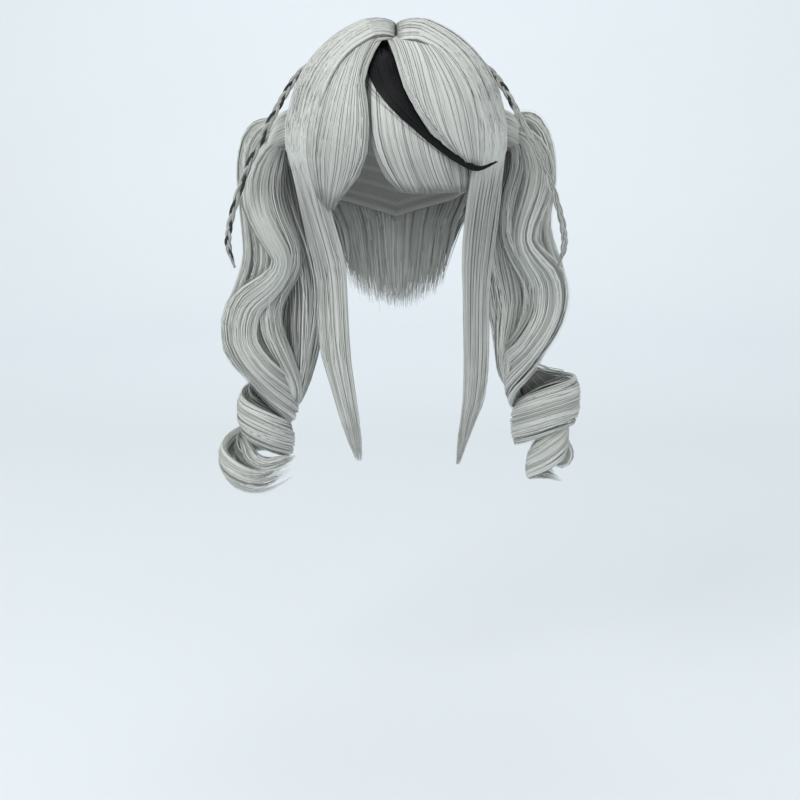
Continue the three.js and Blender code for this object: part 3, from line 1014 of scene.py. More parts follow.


# The under layers' lower tone is painted shade beneath the fine strands.
LOWER_FRINGE = FringeHair(
    guides=(
        ((-10, 8), (-19, 30), (-20.5, 55), (-18.5, 84), (-10, 108), (4, 128)),
        ((-5, 8), (-10, 30), (-6, 59), (-2.5, 84), (5.5, 110), (15, 130)),
        ((4, 8), (7, 32), (12, 62), (17, 88), (24, 112), (31, 130)),
        ((12, 8), (22, 32), (31, 66), (36, 96), (41, 114), (47, 130)),
        ((20, 8), (40, 32), (52, 60), (57.5, 84), (60, 108), (61, 131)),
    ),
    rest=0.16, locks=13,
    under=Layer(40, 10, 4.2, 0.4, 0.18, 0.22, 0.8, 0.04, 6),
    fine=Layer(520, 12, 0.46, 0.13, 0.28, 0.34, 0.94, 0.07),
    root_depth=0.1, relief=0.014, ragged=0.006, tip_shade=0.26,
)
SWEEP_LEFT = FringeHair(
    guides=(
        ((-8, -4), (-1, 9), (3.5, 22), (9, 38), (18.5, 55), (32, 74)),
        ((0, -5), (8, 14), (13.5, 34), (19, 54), (27.5, 71), (41, 87)),
        ((10, -5), (20, 16), (26.5, 40), (32.5, 62), (39.5, 81), (51, 97)),
        ((16, -5), (31, 20), (43, 46), (49, 67), (54, 88), (60, 106)),
        ((20, -4), (42.5, 16), (59, 40), (66, 60), (69, 84), (70, 112)),
    ),
    rest=0.8, locks=11,
    under=Layer(36, 10, 4.4, 0.4, 0.82, 0.86, 0.8, 0.04, 6),
    fine=Layer(540, 12, 0.46, 0.13, 0.94, 1.0, 0.95, 0.07),
    root_depth=0.5, relief=0.018, ragged=0.004, tip_shade=0.1,
)
SWEEP_RIGHT = FringeHair(
    guides=(
        ((-8, -6), (-36, 8), (-57, 36), (-68, 68), (-70.5, 102), (-62, 136)),
        ((-7, -6), (-31, 9), (-47, 40), (-55.5, 72), (-60.5, 104), (-57, 142)),
        ((-6, -5), (-27, 11), (-38, 42), (-44, 76), (-48, 112), (-54, 147)),
        ((-6, -4), (-23, 13), (-31, 42), (-33, 76), (-38, 110), (-48, 140)),
        ((-7, -3), (-19, 14), (-28, 38), (-24, 66), (-27, 102), (-42, 130)),
    ),
    rest=0.45, locks=10,
    under=Layer(36, 11, 4.4, 0.4, 0.74, 0.78, 0.8, 0.04, 6),
    fine=Layer(540, 13, 0.46, 0.13, 0.85, 0.91, 0.94, 0.07),
    root_depth=0.45, relief=0.018, ragged=0.016, tip_shade=0.24,
)


@dataclass(frozen=True)
class StreakRow:
    """Middle of the black streak from the front, its width and the depth it lies at."""

    across: float
    down: float
    width: float
    depth: float


STREAK = (
    StreakRow(-9.5, 7, 5, 0.38), StreakRow(-10.5, 25, 29, 0.38),
    StreakRow(-1.5, 47, 21, 0.38), StreakRow(20, 71, 14.5, 0.42),
    StreakRow(40, 90, 10, 0.55), StreakRow(56, 103, 6.2, 0.8),
    StreakRow(69, 110, 3.6, 1.02), StreakRow(86, 105, 1.5, 1.08),
)


@dataclass
class BlackStreak:
    """Black lock that lies along its line over the fringe.

    Packing is the share of the width that the strands fill and how far they wander from it.
    """

    lift: float = 0.12
    early: float = 0.3
    early_power: float = 2.5
    late: float = 0.06
    packing: Pair = (0.94, 0.06)
    loose_packing: Pair = (1.2, 0.3)
    under: Layer = Layer(12, 22, 1.9, 0.6, 0.1, 0.5, 0.5, 0.1, 6)
    fine: Layer = Layer(250, 20, 0.42, 0.15, 0.3, 1.2, 0.48, 0.45)
    loose: Layer = Layer(18, 18, 0.12, 0.08, 0.6, 1.3, 0.6, 0.3)

    def grow(self, piece: HairPiece) -> None:
        """Lays the layers of the streak into a piece."""
        line = RowCurve(np.array([(row.across, 0.0, -row.down) for row in STREAK]))
        for layer in (self.under, self.fine, self.loose):
            self.lay(line, layer, piece)

    def lay(self, line: RowCurve, layer: Layer, piece: HairPiece) -> None:
        """Lays one layer along the streak's line.

        Args:
            line: Middle line of the streak.
            layer: Layer to lay.
            piece: Piece that takes the strands.
        """
        rng = piece.rng
        end = 1.0 - self.early * layer.draw(rng) ** self.early_power
        start = self.late * layer.draw(rng)
        share = start + (end - start) * layer.even()
        middle = line.at(share)
        tangent = line.tangent(share)
        rows = np.linspace(0.0, 1.0, len(STREAK))
        width = np.interp(share, rows, [row.width for row in STREAK])
        rest = np.interp(share, rows, [row.depth for row in STREAK])
        stretch, stray = self.loose_packing if layer is self.loose else self.packing
        place = stretch * (2.0 * layer.draw(rng) - 1.0)
        offset = 0.5 * width * (place + stray * layer.wander(rng, 5))
        level = layer.levels(rng)
        depth = rest + self.lift * level * np.sqrt(np.maximum(0.05, 1.0 - place**2))
        across = middle[..., 0] - offset * tangent[..., 2]
        down = -(middle[..., 2] + offset * tangent[..., 0])
        points = HEAD.on_front(across, down, rest, depth)
        profile = tip_profile(layer.points, 0.06, 0.3)
        piece.comb_in(layer, points, HEAD.outward(points), np.ones_like(share), profile)


@dataclass(frozen=True)
class LevelRow:
    """Level section of a side lock: its two edges and its thickness."""

    down: float
    near: float
    near_fore: float
    far: float
    far_fore: float
    thick: float


SIDE_LOCK = {
    Side.RIGHT: (
        LevelRow(150, 57.5, 77, 84, 30, 13), LevelRow(186, 47, 79, 75, 40, 12),
        LevelRow(214, 44, 79, 69, 46, 11), LevelRow(268, 42, 76, 68, 52, 10),
        LevelRow(310, 37, 72, 57, 56, 8), LevelRow(346, 32, 68, 47, 58, 6),
        LevelRow(373, 31, 64, 36, 60, 2.5),
    ),
    Side.LEFT: (
        LevelRow(150, 63, 77, 91, 30, 13), LevelRow(186, 60, 78, 86, 38, 12),
        LevelRow(222, 60, 77, 82, 44, 11), LevelRow(280, 61, 75, 82, 50, 10),
        LevelRow(318, 60, 72, 78.5, 55, 8), LevelRow(352, 56, 68, 65, 58, 6),
        LevelRow(376, 54.5, 64, 57, 61, 2.5),
    ),
}


@dataclass
class SideLock:
    """Long straight lock that runs off the crown and hangs beside the face.

    Its strands start over the crown's hair, bend at the hem and follow the level rows from there.
    """

    side: Side
    first_angle: float = 61.0
    last_angle: float = 98.0
    locks: int = 7
    gather: float = 0.9
    start: float = 28.0
    start_spread: float = 46.0
    hem: float = 98.0
    stand: float = 0.05
    under_sink: float = 0.1
    bend: Triple = (0.12, 0.0, -0.02)
    hem_sink: float = 0.3
    sink_end: float = 112.0
    early: float = 0.16
    sway: float = 0.5
    # Painted shade on deep strands and below the crown's hem, painted light lower down.
    inner_shade: float = 0.14
    hem_shade: float = 0.1
    lower_lift: float = 0.14
    # The under layer's lower tone is painted shade beneath the fine strands.
    under: Layer = Layer(20, 16, 4.2, 1.0, 0.15, 0.75, 0.78, 0.04, 6)
    fine: Layer = Layer(460, 16, 0.5, 0.16, 0.0, 1.0, 0.94, 0.07)

    def grow(self, piece: HairPiece) -> None:
        """Lays the layers of the side lock into a piece."""
        plan = LockPlan.draw(piece.rng, self.locks)
        for layer in (self.under, self.fine):
            self.lay(plan, layer, piece)

    def lay(self, plan: LockPlan, layer: Layer, piece: HairPiece) -> None:
        """Lays one layer.

        Args:
            plan: Division of the lock into smaller locks.
            layer: Layer to lay.
            piece: Piece that takes the strands.
        """
        rng = piece.rng
        _, middle, half, place = plan.scatter(rng, layer.count)
        across = (middle + half * place * self.gather)[:, None]
        level = layer.levels(rng)
        face = (2.0 * level - 1.0) * np.sqrt(np.maximum(0.02, 1.0 - (2.0 * across - 1.0) ** 2))
        angle = self.first_angle + (self.last_angle - self.first_angle) * across
        begin = self.start + self.start_spread * layer.draw(rng)
        drop = begin + (self.hem - begin) * np.array([[0.0, 0.5, 1.0]])
        sunk = 0.0 if layer.is_fine else self.under_sink
        depth = 1.0 - sunk + self.stand * level - np.array([self.bend])
        depth = depth - self.hem_sink * ease(self.start, self.sink_end, drop)
        start = HEAD.stroke_start(HEAD.stroke_across(angle))
        upper = HEAD.comb(self.side, start, angle, depth, np.ones_like(drop), drop)
        hung = self.level_points(across, face)
        joint = 0.5 * (upper[:, -1:] + hung[:, :1])
        control = np.concatenate([upper, joint, hung], axis=1)
        end = 1.0 - self.early * layer.draw(rng) ** 2
        path = layer.even() * end
        points = through(control, np.broadcast_to(path, (layer.count, layer.points)))
        points[..., 0] += self.sway * layer.wander(rng, 5) * ease(0.2, 0.6, path)
        outward = unit(points * np.array([1.0, 1.0, 0.0]))
        # Painted shade on the deeper strands and below the crown's hem, and painted light lower down
        # the lock.
        shade = 1.02 - self.inner_shade * (1.0 - level) * ease(0.1, 0.4, path)
        shade = shade - self.hem_shade * ease(0.15, 0.4, path)
        shade = shade + self.lower_lift * ease(0.4, 0.8, path)
        profile = tip_profile(layer.points, 0.12, 0.25 if layer.is_fine else 0.6, 0.06)
        piece.comb_in(layer, points, outward, shade, profile)

    def level_points(self, across: Array, face: Array) -> Array:
        """Points of strands on every level row.

        Args:
            across: Share of the way from the near edge to the far one, (strands, 1).
            face: Offset over the thickness, from -1 inside to 1 outside, (strands, 1).

        Returns:
            Points of shape (strands, rows, 3).
        """
        lower = []
        for row in SIDE_LOCK[self.side]:
            near = np.array([row.near * self.side.value, -row.near_fore, -row.down])
            far = np.array([row.far * self.side.value, -row.far_fore, -row.down])
            flat = unit(far - near)
            out = np.array([flat[1], -flat[0], 0.0]) * -self.side.value
            lower.append(near + (far - near) * across + out * face * row.thick / 2)
        return np.stack(lower, axis=1)


@dataclass(frozen=True)
class TailRow:
    """Section of a ponytail's lock: its place, its size and the way its flat side faces."""

    out: float
    back: float
    down: float
    width: float
    thick: float
    facing: Triple


@dataclass(frozen=True)
class CoilRow:
    """Half turn of a ponytail's end coil, alternately at its innermost and outermost."""

    reach: float
    down: float
    depth: float
    sag: float
    width: float
    thick: float


@dataclass(frozen=True)
class WaveLock:
    """Waved lock of a ponytail, with its flat side to the front.

    Attributes:
        thick: Thickness of the lock.
        count: Number of fine strands.
        rows: Out, back, down and width of each section.
        tone: Lightness of the lock, lower on the inner, edge and rear locks as painted shade.
        root_tone: Painted shade at the root, as the share of the lightness left there; above 1 it is
            painted light.
    """

    thick: float
    count: int
    rows: tuple[tuple[float, float, float, float], ...]
    tone: float = 1.0
    root_tone: float = 0.9


@dataclass(frozen=True)
class TailFill:
    """How a lock is filled: its early ends as a share of its length, clumps and loose hairs."""

    shorter: float
    clumps: int
    loose: int = 0


@dataclass(frozen=True)
class Place:
    """Place out from the middle plane, back and down from the crown."""

    out: float
    back: float
    down: float


@dataclass(frozen=True)
class RootStep:
    """Step of the strands over a tie: out, scale of their ring, drop, and tuck at the bottom."""

    out: float
    size: float
    drop: float
    tuck: float


FORE = (0.0, -1.0, 0.0)
TAIL_ROOT = Place(104.2, 20.0, 84.0)
TAIL_AXIS_BACK = 20.0
REAR_LENGTH = {Side.RIGHT: 1.0, Side.LEFT: 0.94}
ROOT_STEPS = (
    RootStep(-16.0, 1.2, -4.0, 0.0), RootStep(-5.0, 1.08, -1.0, 0.0),
    RootStep(3.0, 1.03, 2.5, 0.5), RootStep(8.0, 0.96, 8.0, 3.0),
    RootStep(13.0, 0.92, 20.0, 8.0), RootStep(16.0, 0.88, 38.0, 12.0),
    RootStep(16.0, 0.8, 58.0, 13.0),
)
# A root value below 1 is painted shade at a lock's root, and one above 1 painted light.
MAIN_WAVE = {
    Side.RIGHT: WaveLock(thick=15, count=170, root_tone=1.14, rows=(
        (101, 15, 87, 10), (117, 6, 101, 18), (127, 2, 121, 26), (129, 0, 142, 28),
        (122, -2, 163, 24), (112, -4, 180, 22), (104, -3, 196, 20), (108, -3, 212, 23),
        (122, -2, 227, 29), (138, 0, 240, 34), (144, 2, 258, 36), (142, 0, 278, 34),
        (126, -8, 299, 32),
    )),
    Side.LEFT: WaveLock(thick=15, count=170, rows=(
        (103, 15, 82, 10), (118, 6, 88, 18), (128, 2, 105, 26), (131, 0, 124, 28),
        (126, -2, 144, 26), (118, -4, 163, 22), (116, -4, 181, 20), (125, -4, 197, 26),
        (138, -2, 213, 34), (142, 0, 233, 36), (138, -2, 254, 34), (123, -8, 276, 32),
    )),
}
COIL = {
    Side.RIGHT: (
        CoilRow(96, 340, 26, -9, 40, 15), CoilRow(150, 346, 29, -4, 38, 12),
        CoilRow(98, 376, 29, -8, 32, 11), CoilRow(171, 389, 31, 15, 28, 10),
        CoilRow(97, 400, 12, 0, 22, 8),
    ),
    Side.LEFT: (
        CoilRow(105, 316, 27, 8, 42, 15), CoilRow(174, 333, 30, -8, 44, 12),
        CoilRow(110, 360, 28, -6, 38, 11), CoilRow(163, 366, 26, -3, 32, 10),
        CoilRow(125, 402, 18, 2, 22, 8), CoilRow(160, 412, 10, 0, 9, 5),
    ),
}
# The inner and edge locks' lower tones are painted shade between the head and the tail.
SIDE_WAVES = {
    Side.RIGHT: (
        WaveLock(thick=14, count=80, root_tone=1.14, rows=(
            (101, 20, 82, 12), (113, 17, 81, 20), (125, 14, 91, 24), (131, 12, 108, 24),
            (132, 11, 128, 22), (129, 11, 150, 20), (125, 11, 172, 18), (122, 12, 192, 18),
            (125, 13, 212, 20), (134, 14, 232, 20), (141, 14, 252, 16), (144, 14, 272, 8),
        )),
        WaveLock(thick=12, count=70, rows=(
            (101, 21, 79, 8), (114, 19, 75, 10), (128, 18, 79, 12), (136, 17, 91, 12),
            (140, 17, 109, 12), (141, 17, 129, 12), (140, 18, 150, 11), (138, 18, 173, 10),
            (137, 18, 196, 10), (143, 17, 219, 12), (152, 17, 243, 14), (158, 18, 268, 14),
            (157, 18, 285, 14), (148, 18, 301, 12), (136, 14, 315, 8),
        )),
        WaveLock(thick=14, tone=0.95, count=96, root_tone=0.8, rows=(
            (101, 16, 89, 10), (110, 7, 114, 20), (113, 5, 137, 22), (107, 3, 159, 22),
            (97, 2, 179, 18), (93, 1, 195, 14), (98, 2, 211, 18), (111, 4, 229, 22),
            (119, 6, 249, 24), (116, 7, 270, 24), (105, 6, 293, 20), (95, 7, 318, 14),
            (96, 16, 334, 12), (108, 32, 340, 10), (124, 38, 344, 7), (136, 32, 350, 3),
        )),
        WaveLock(thick=15, tone=0.78, count=90, root_tone=0.34, rows=(
            (101, 20, 86, 10), (102, 16, 110, 20), (100, 14, 130, 24), (96, 12, 152, 26),
            (90, 11, 178, 26), (86, 11, 205, 26), (85, 12, 233, 26), (86, 13, 261, 24),
            (88, 13, 290, 18), (92, 16, 322, 14), (99, 26, 338, 13), (113, 38, 340, 12),
            (130, 38, 342, 9), (141, 26, 350, 4),
        )),
        WaveLock(thick=14, tone=0.66, count=70, root_tone=0.26, rows=(
            (101, 22, 88, 10), (97, 22, 112, 18), (91, 20, 146, 22), (83, 18, 182, 22),
            (78, 18, 212, 22), (77, 18, 240, 22), (78, 18, 269, 20), (83, 17, 297, 14),
            (90, 18, 322, 12), (98, 30, 336, 11), (114, 42, 336, 10), (131, 40, 340, 7),
            (142, 28, 346, 3),
        )),
    ),
    Side.LEFT: (
        WaveLock(thick=14, count=80, rows=(
            (103, 20, 79, 12), (114, 17, 75, 20), (125, 14, 84, 24), (132, 12, 101, 24),
            (133, 11, 121, 22), (130, 11, 143, 20), (125, 11, 163, 18), (124, 12, 181, 18),
            (130, 13, 198, 20), (139, 14, 214, 20), (144, 14, 234, 16), (144, 14, 252, 8),
        )),
        WaveLock(thick=12, count=70, rows=(
            (104, 21, 76, 8), (115, 19, 70, 10), (126, 18, 72, 12), (134, 17, 86, 12),
            (139, 17, 104, 12), (141, 17, 123, 12), (140, 18, 143, 11), (137, 18, 166, 10),
            (141, 18, 186, 12), (148, 17, 205, 14), (152, 17, 227, 14), (151, 17, 250, 14),
            (143, 14, 272, 12), (131, 6, 291, 8),
        )),
        WaveLock(thick=14, tone=0.95, count=96, root_tone=0.8, rows=(
            (102, 16, 85, 10), (112, 7, 98, 18), (113, 5, 117, 20), (107, 3, 139, 20),
            (103, 2, 162, 18), (105, 1, 183, 18), (116, 1, 201, 20), (127, 2, 218, 24),
            (130, 4, 239, 24), (124, 4, 260, 22), (113, 4, 279, 20), (106, 8, 300, 16),
            (108, 20, 318, 13), (122, 36, 328, 10), (144, 38, 334, 7), (160, 28, 338, 3),
        )),
        WaveLock(thick=15, tone=0.94, count=90, root_tone=0.34, rows=(
            (102, 20, 86, 10), (102, 14, 110, 20), (100, 12, 137, 24), (96, 11, 165, 24),
            (97, 11, 191, 24), (104, 12, 217, 29), (108, 13, 241, 31), (104, 13, 266, 27),
            (101, 14, 290, 18), (104, 20, 312, 14), (116, 36, 324, 12), (140, 42, 330, 9),
            (160, 30, 336, 4),
        )),
        WaveLock(thick=14, tone=0.9, count=70, root_tone=0.26, rows=(
            (101, 22, 88, 10), (98, 20, 123, 18), (94, 18, 155, 20), (92, 18, 187, 20),
            (92, 18, 215, 20), (95, 18, 240, 20), (99, 18, 267, 18), (101, 18, 291, 14),
            (106, 28, 312, 12), (122, 42, 324, 10), (146, 40, 330, 7), (164, 26, 336, 3),
        )),
    ),
}
# The rear locks' lower tones are painted shade.
REAR_WAVES = (
    WaveLock(thick=16, tone=0.9, count=90, rows=(
        (103, 24, 84, 10), (122, 30, 100, 22), (130, 34, 125, 28), (127, 36, 150, 28),
        (118, 38, 178, 26), (113, 38, 200, 24), (120, 38, 222, 26), (132, 36, 245, 30),
        (137, 34, 268, 30), (131, 32, 290, 24), (118, 30, 312, 16), (108, 28, 326, 8),
    )),
    WaveLock(thick=15, tone=0.84, count=80, rows=(
        (101, 24, 88, 10), (107, 30, 115, 22), (104, 32, 145, 26), (97, 32, 175, 26),
        (94, 32, 205, 24), (98, 32, 235, 24), (104, 32, 262, 22), (102, 30, 290, 16),
        (98, 28, 318, 8),
    )),
)
# Its low tone is painted shade inside the coil.
INNER_COIL = WaveLock(thick=11, tone=0.66, count=36, rows=())
LOOSE_ENDS = {
    Side.RIGHT: (
        WaveLock(thick=9, count=46, rows=(
            (150, 26, 370, 8), (143, 14, 377, 12), (138, 4, 386, 14), (125, -4, 392, 15),
            (109, -4, 389, 11), (92, 2, 382, 4),
        )),
    ),
    Side.LEFT: (
        WaveLock(thick=9, count=40, rows=(
            (140, 30, 366, 8), (152, 32, 373, 14), (161, 24, 381, 17), (162, 10, 389, 15),
            (155, 4, 394, 10), (147, 4, 389, 5),
        )),
    ),
}


@dataclass
class TailLock:
    """Lock of a ponytail whose section follows rows, laid out on the right.

    Attributes:
        rows: Sections from the root to the tip.
        side: Side of the wearer that the lock is put on.
        fine_step: Shortest step between points of a strand.
        long_step: Longest step between points of a strand.
        step_turn: Turn of the line, in radians, over one step.
        row_points: Points of the middle line for each row.
        soft_reach: Points that the rounding of the line's turns spreads over.
        bend_window: Points that the measured bend is averaged over.
    """

    rows: tuple[TailRow, ...]
    side: Side
    fine_step: float = 4.8
    long_step: float = 13.0
    step_turn: float = 0.29
    row_points: int = 24
    soft_reach: int = 8
    bend_window: int = 13

    def __post_init__(self) -> None:
        """Works out the middle line and the places of the strands' points."""
        rough = RowCurve(np.array([(-row.out, row.back, -row.down) for row in self.rows]))
        even = np.linspace(0.0, 1.0, self.row_points * (len(self.rows) - 1) + 1)
        line = softened(rough.at(even), self.soft_reach)
        self.line = RowCurve(line)
        self.shares = np.linspace(0.0, 1.0, len(self.rows))
        self.facing = np.array([row.facing for row in self.rows], float)
        step = np.linalg.norm(np.diff(line, axis=0), axis=1)
        along = unit(np.diff(line, axis=0))
        turn = np.arccos(np.clip((along[1:] * along[:-1]).sum(axis=1), -1.0, 1.0))
        beyond = self.bend_window // 2
        padded = np.pad(turn / step[1:], (beyond, beyond + 1), "edge")
        bend = np.convolve(padded, np.ones(self.bend_window) / self.bend_window, "valid")
        gap = np.clip(self.step_turn / np.maximum(bend, 1e-6), self.fine_step, self.long_step)
        run = np.concatenate([[0.0], np.cumsum(step / gap)])
        count = int(run[-1]) + 2
        self.stops = np.interp(np.linspace(0.0, run[-1], count), run, even)

    def halves(self, share: Array) -> tuple[Array, Array]:
        """Half width and half thickness of the section at shares of the rows."""
        wide = np.interp(share, self.shares, [row.width / 2 for row in self.rows])
        thick = np.interp(share, self.shares, [row.thick / 2 for row in self.rows])
        return wide, thick

    def place(self, share: Array, flat: Array, rise: Array) -> tuple[Array, Array]:
        """Points inside the lock and the directions out of it.

        Args:
            share: Places along the rows, (strands, points).
            flat: Offsets over the width in half widths, (strands, points).
            rise: Offsets over the thickness in half thicknesses, (strands, points).

        Returns:
            Points and outward directions on the piece's own side.
        """
        middle = self.line.at(share)
        tangent = self.line.tangent(share)
        facing = np.stack(
            [np.interp(share, self.shares, self.facing[:, axis]) for axis in range(3)], axis=-1
        )
        across = unit(np.cross(tangent, facing))
        over = unit(np.cross(across, tangent))
        wide, thick = self.halves(share)
        points = middle + across * (wide * flat)[..., None] + over * (thick * rise)[..., None]
        slope = across * (flat / np.maximum(wide, 1.0))[..., None]
        outward = unit(slope + over * (rise / np.maximum(thick, 1.0))[..., None])
        return points * self.side.mirror, outward * self.side.mirror


@dataclass
class Ponytail:
    """Ponytail of waved locks round one main lock that ends in a coil."""

    side: Side
    rear_length: float
    main_fill: TailFill = TailFill(0.035, 12)
    coil_fill: TailFill = TailFill(0.1, 5)
    end_fill: TailFill = TailFill(0.16, 4)
    wave_fill: TailFill = TailFill(0.1, 8, 6)
    inner_scale: float = 0.66
    inner_lift: float = 3.0
    crossings: tuple[tuple[int, int], ...] = ((1, 0), (0, 3), (5, 4))
    root_radius: float = 17.4
    root_spread: Pair = (-0.3, 0.9)
    root_shade: float = 0.45
    body_size: float = 0.75
    body_short: float = 0.6
    body_sides: int = 12
    # Darker body: painted shade in the gaps between the strands.
    body_tone: float = 0.7
    gather: float = 0.92
    relief: float = 0.09
    clump_rise: float = 0.05
    clump_sway: float = 0.026
    own_sway: float = 0.016
    own_rise: float = 0.045
    still_every: int = 3
    still_sink: float = 0.06
    edge_shade: float = 0.36
    clump_shade: float = 0.06
    wave_depth: float = 6.0
    wave_length: float = 110.0
    wave_start: float = 100.0
    wave_grows: Pair = (95.0, 150.0)
    wave_fades: Pair = (250.0, 300.0)
    fine: Layer = Layer(0, 0, 0.5, 0.16, 0.93, 1.02, 1.0, 0.24)
    loose: Layer = Layer(0, 0, 0.2, 0.12, 1.06, 1.3, 1.0, 0.06)
    crossing: Layer = Layer(6, 30, 0.24, 0.14, 1.03, 1.2, 1.0, 0.08)
    cover: Layer = Layer(130, 13, 0.7, 0.24, 0.0, 1.0, 0.93, 0.12)

    def grow(self, piece: HairPiece) -> None:
        """Lays the locks of the ponytail into a piece."""
        main = MAIN_WAVE[self.side]
        self.fill(piece, main, self.wave_rows(main) + self.coil_rows(), self.main_fill)
        inner = self.coil_rows(self.inner_scale, self.inner_lift)
        self.fill(piece, INNER_COIL, inner, self.coil_fill)
        for lock in LOOSE_ENDS[self.side]:
            self.fill(piece, lock, self.wave_rows(lock), self.end_fill)
        for lock in SIDE_WAVES[self.side]:
            self.fill(piece, lock, self.wave_rows(lock), self.wave_fill)
        for lock in REAR_WAVES:
            self.fill(piece, lock, self.wave_rows(lock, self.rear_length), self.wave_fill)
        waves = (main, *SIDE_WAVES[self.side])
        for first, second in self.crossings:
            self.cross(piece, waves[first], waves[second])
        self.cover_root(piece)

    def wave_rows(self, lock: WaveLock, scale: float = 1.0) -> tuple[TailRow, ...]:
        """Rows of a waved lock, its length scaled from the root."""
        return tuple(
            TailRow(
                out,
                back + self.depth_wave(down),
                TAIL_ROOT.down + (down - TAIL_ROOT.down) * scale,
                width,
                min(lock.thick, width),
                FORE,
            )
            for out, back, down, width in lock.rows
        )

    def depth_wave(self, down: float) -> float:
        """Offset of the locks to the back at a level, as they wave."""
        grown = ease(*self.wave_grows, down) * (1.0 - ease(*self.wave_fades, down))
        turn = 2 * math.pi * (down - self.wave_start) / self.wave_length
        return float(self.wave_depth * grown * math.sin(turn))

    def coil_rows(self, shrink: float = 1.0, lift: float = 0.0) -> tuple[TailRow, ...]:
        """Rows of the end coil with the quarter turns worked out between.

        Args:
            shrink: Scale of the coil's radius.
            lift: Height that the coil is raised by.

        Returns:
            The rows from top to end.
        """
        made: list[TailRow] = []
        rows = COIL[self.side]
        middle = float(np.mean([row.reach for row in rows]))
        for index, row in enumerate(rows):
            outward = -1 if index % 2 == 0 else 1
            reach = middle + (row.reach - middle) * shrink
            down = row.down - lift
            facing = (-outward, 0, 0)
            made.append(TailRow(reach, TAIL_AXIS_BACK, down, row.width, row.thick, facing))
            if index + 1 == len(rows):
                continue
            following = rows[index + 1]
            made.append(
                TailRow(
                    middle + ((row.reach + following.reach) / 2 - middle) * shrink,
                    TAIL_AXIS_BACK - outward * row.depth * shrink,
                    (row.down + following.down) / 2 + row.sag - lift,
                    (row.width + following.width) / 2,
                    (row.thick + following.thick) / 2,
                    (0, -outward, 0),
                )
            )
        return tuple(made)

    def fill(
        self, piece: HairPiece, wave: WaveLock, rows: tuple[TailRow, ...], how: TailFill
    ) -> None:
        """Fills a lock with a body, fine strands in clumps and a few loose hairs.

        Args:
            piece: Piece that takes the strands.
            wave: Lock that is filled.
            rows: Sections of the lock.
            how: Early ends, clumps and loose hairs.
        """
        lock = TailLock(rows, self.side)
        self.lay_body(lock, wave, piece, how.shorter)
        points = len(lock.stops)
        fine = replace(self.fine, count=wave.count, points=points, tone=wave.tone)
        self.lay(lock, fine, piece, how.clumps, how.shorter, wave.root_tone)
        if how.loose:
            loose = replace(self.loose, count=how.loose, points=points, tone=wave.tone)
            self.lay(lock, loose, piece, how.clumps, 3.0 * how.shorter, wave.root_tone)

    def lay_body(self, lock: TailLock, wave: WaveLock, piece: HairPiece, shorter: float) -> None:
        """Lays the smooth body under a lock's strands.

        Args:
            lock: Lock that the body fills.
            wave: Lock's own sizes.
            piece: Piece that takes the body.
            shorter: Share of the length by which some strands end early.
        """
        share = lock.stops[None, :] * (1.0 - self.body_short * shorter)
        points, outward = lock.place(share, np.zeros_like(share), np.full_like(share, 0.001))
        wide, thick = lock.halves(share)
        # The body is darker than the strands over it, painted shade in the gaps, with painted shade or
        # light at the root like them.
        shade = wave.root_tone + (1.0 - wave.root_tone) * ease(0.05, 0.5, share)
        profile = self.body_size * tip_profile(lock.stops, 0.05, 2.0 * shorter, 0.1)
        tone = self.body_tone * wave.tone * shade**1.5
        piece.hair.add(Strands(points, outward, wide, thick, tone, profile, self.body_sides))

    def lay(
        self,
        lock: TailLock,
        layer: Layer,
        piece: HairPiece,
        clumps: int,
        shorter: float,
        root_tone: float,
    ) -> None:
        """Lays one layer round a lock in clumps that sway, with some strands that keep still.

        Args:
            lock: Lock that the strands cover.
            layer: Layer to lay.
            piece: Piece that takes the strands.
            clumps: Number of clumps that the strands gather in.
            shorter: Share of the length by which some strands end early.
            root_tone: Painted shade at the root, as the share of the lightness left there; above 1 it
                is painted light.
        """
        rng = piece.rng
        plan = LockPlan.draw(rng, clumps)
        clump, middle, half, place = plan.scatter(rng, layer.count)
        offset = plan.offsets[clump]
        early = np.clip(0.5 + 0.5 * offset + 0.4 * rng.random(layer.count), 0.0, 1.0)
        share = lock.stops[None, :] * (1.0 - (shorter * early)[:, None])
        grown = ease(0.0, 0.12, share)
        sway = np.stack([drift(rng, 1, layer.points, 6)[0] for _ in range(clumps)])
        free = np.where(np.arange(layer.count) % self.still_every > 0, 1.0, 0.0)[:, None]
        turn = (middle + self.gather * half * place)[:, None]
        turn = turn + self.clump_sway * free * sway[clump] * grown
        turn = turn + self.own_sway * layer.wander(rng, 6) * grown
        level = layer.levels(rng)[:, 0]
        reach = level - self.relief * place**2 + self.clump_rise * offset
        reach = reach[:, None] + self.own_rise * layer.wander(rng, 7) * grown
        reach = reach - self.still_sink * (1.0 - free)
        flat = reach * np.cos(2 * math.pi * turn)
        rise = reach * np.sin(2 * math.pi * turn)
        points, outward = lock.place(share, flat, rise)
        # Painted shade at the clumps' edges, on sunk clumps and at the root; raised clumps and roots
        # above 1 get painted light.
        shade = 1.02 - self.edge_shade * np.abs(place[:, None]) ** 3
        shade = shade + self.clump_shade * offset[:, None]
        shade = shade * (root_tone + (1.0 - root_tone) * ease(0.05, 0.5, share))
        profile = tip_profile(lock.stops, 0.06, max(0.08, shorter), 0.1)
        piece.comb_in(layer, points, outward, shade, profile)

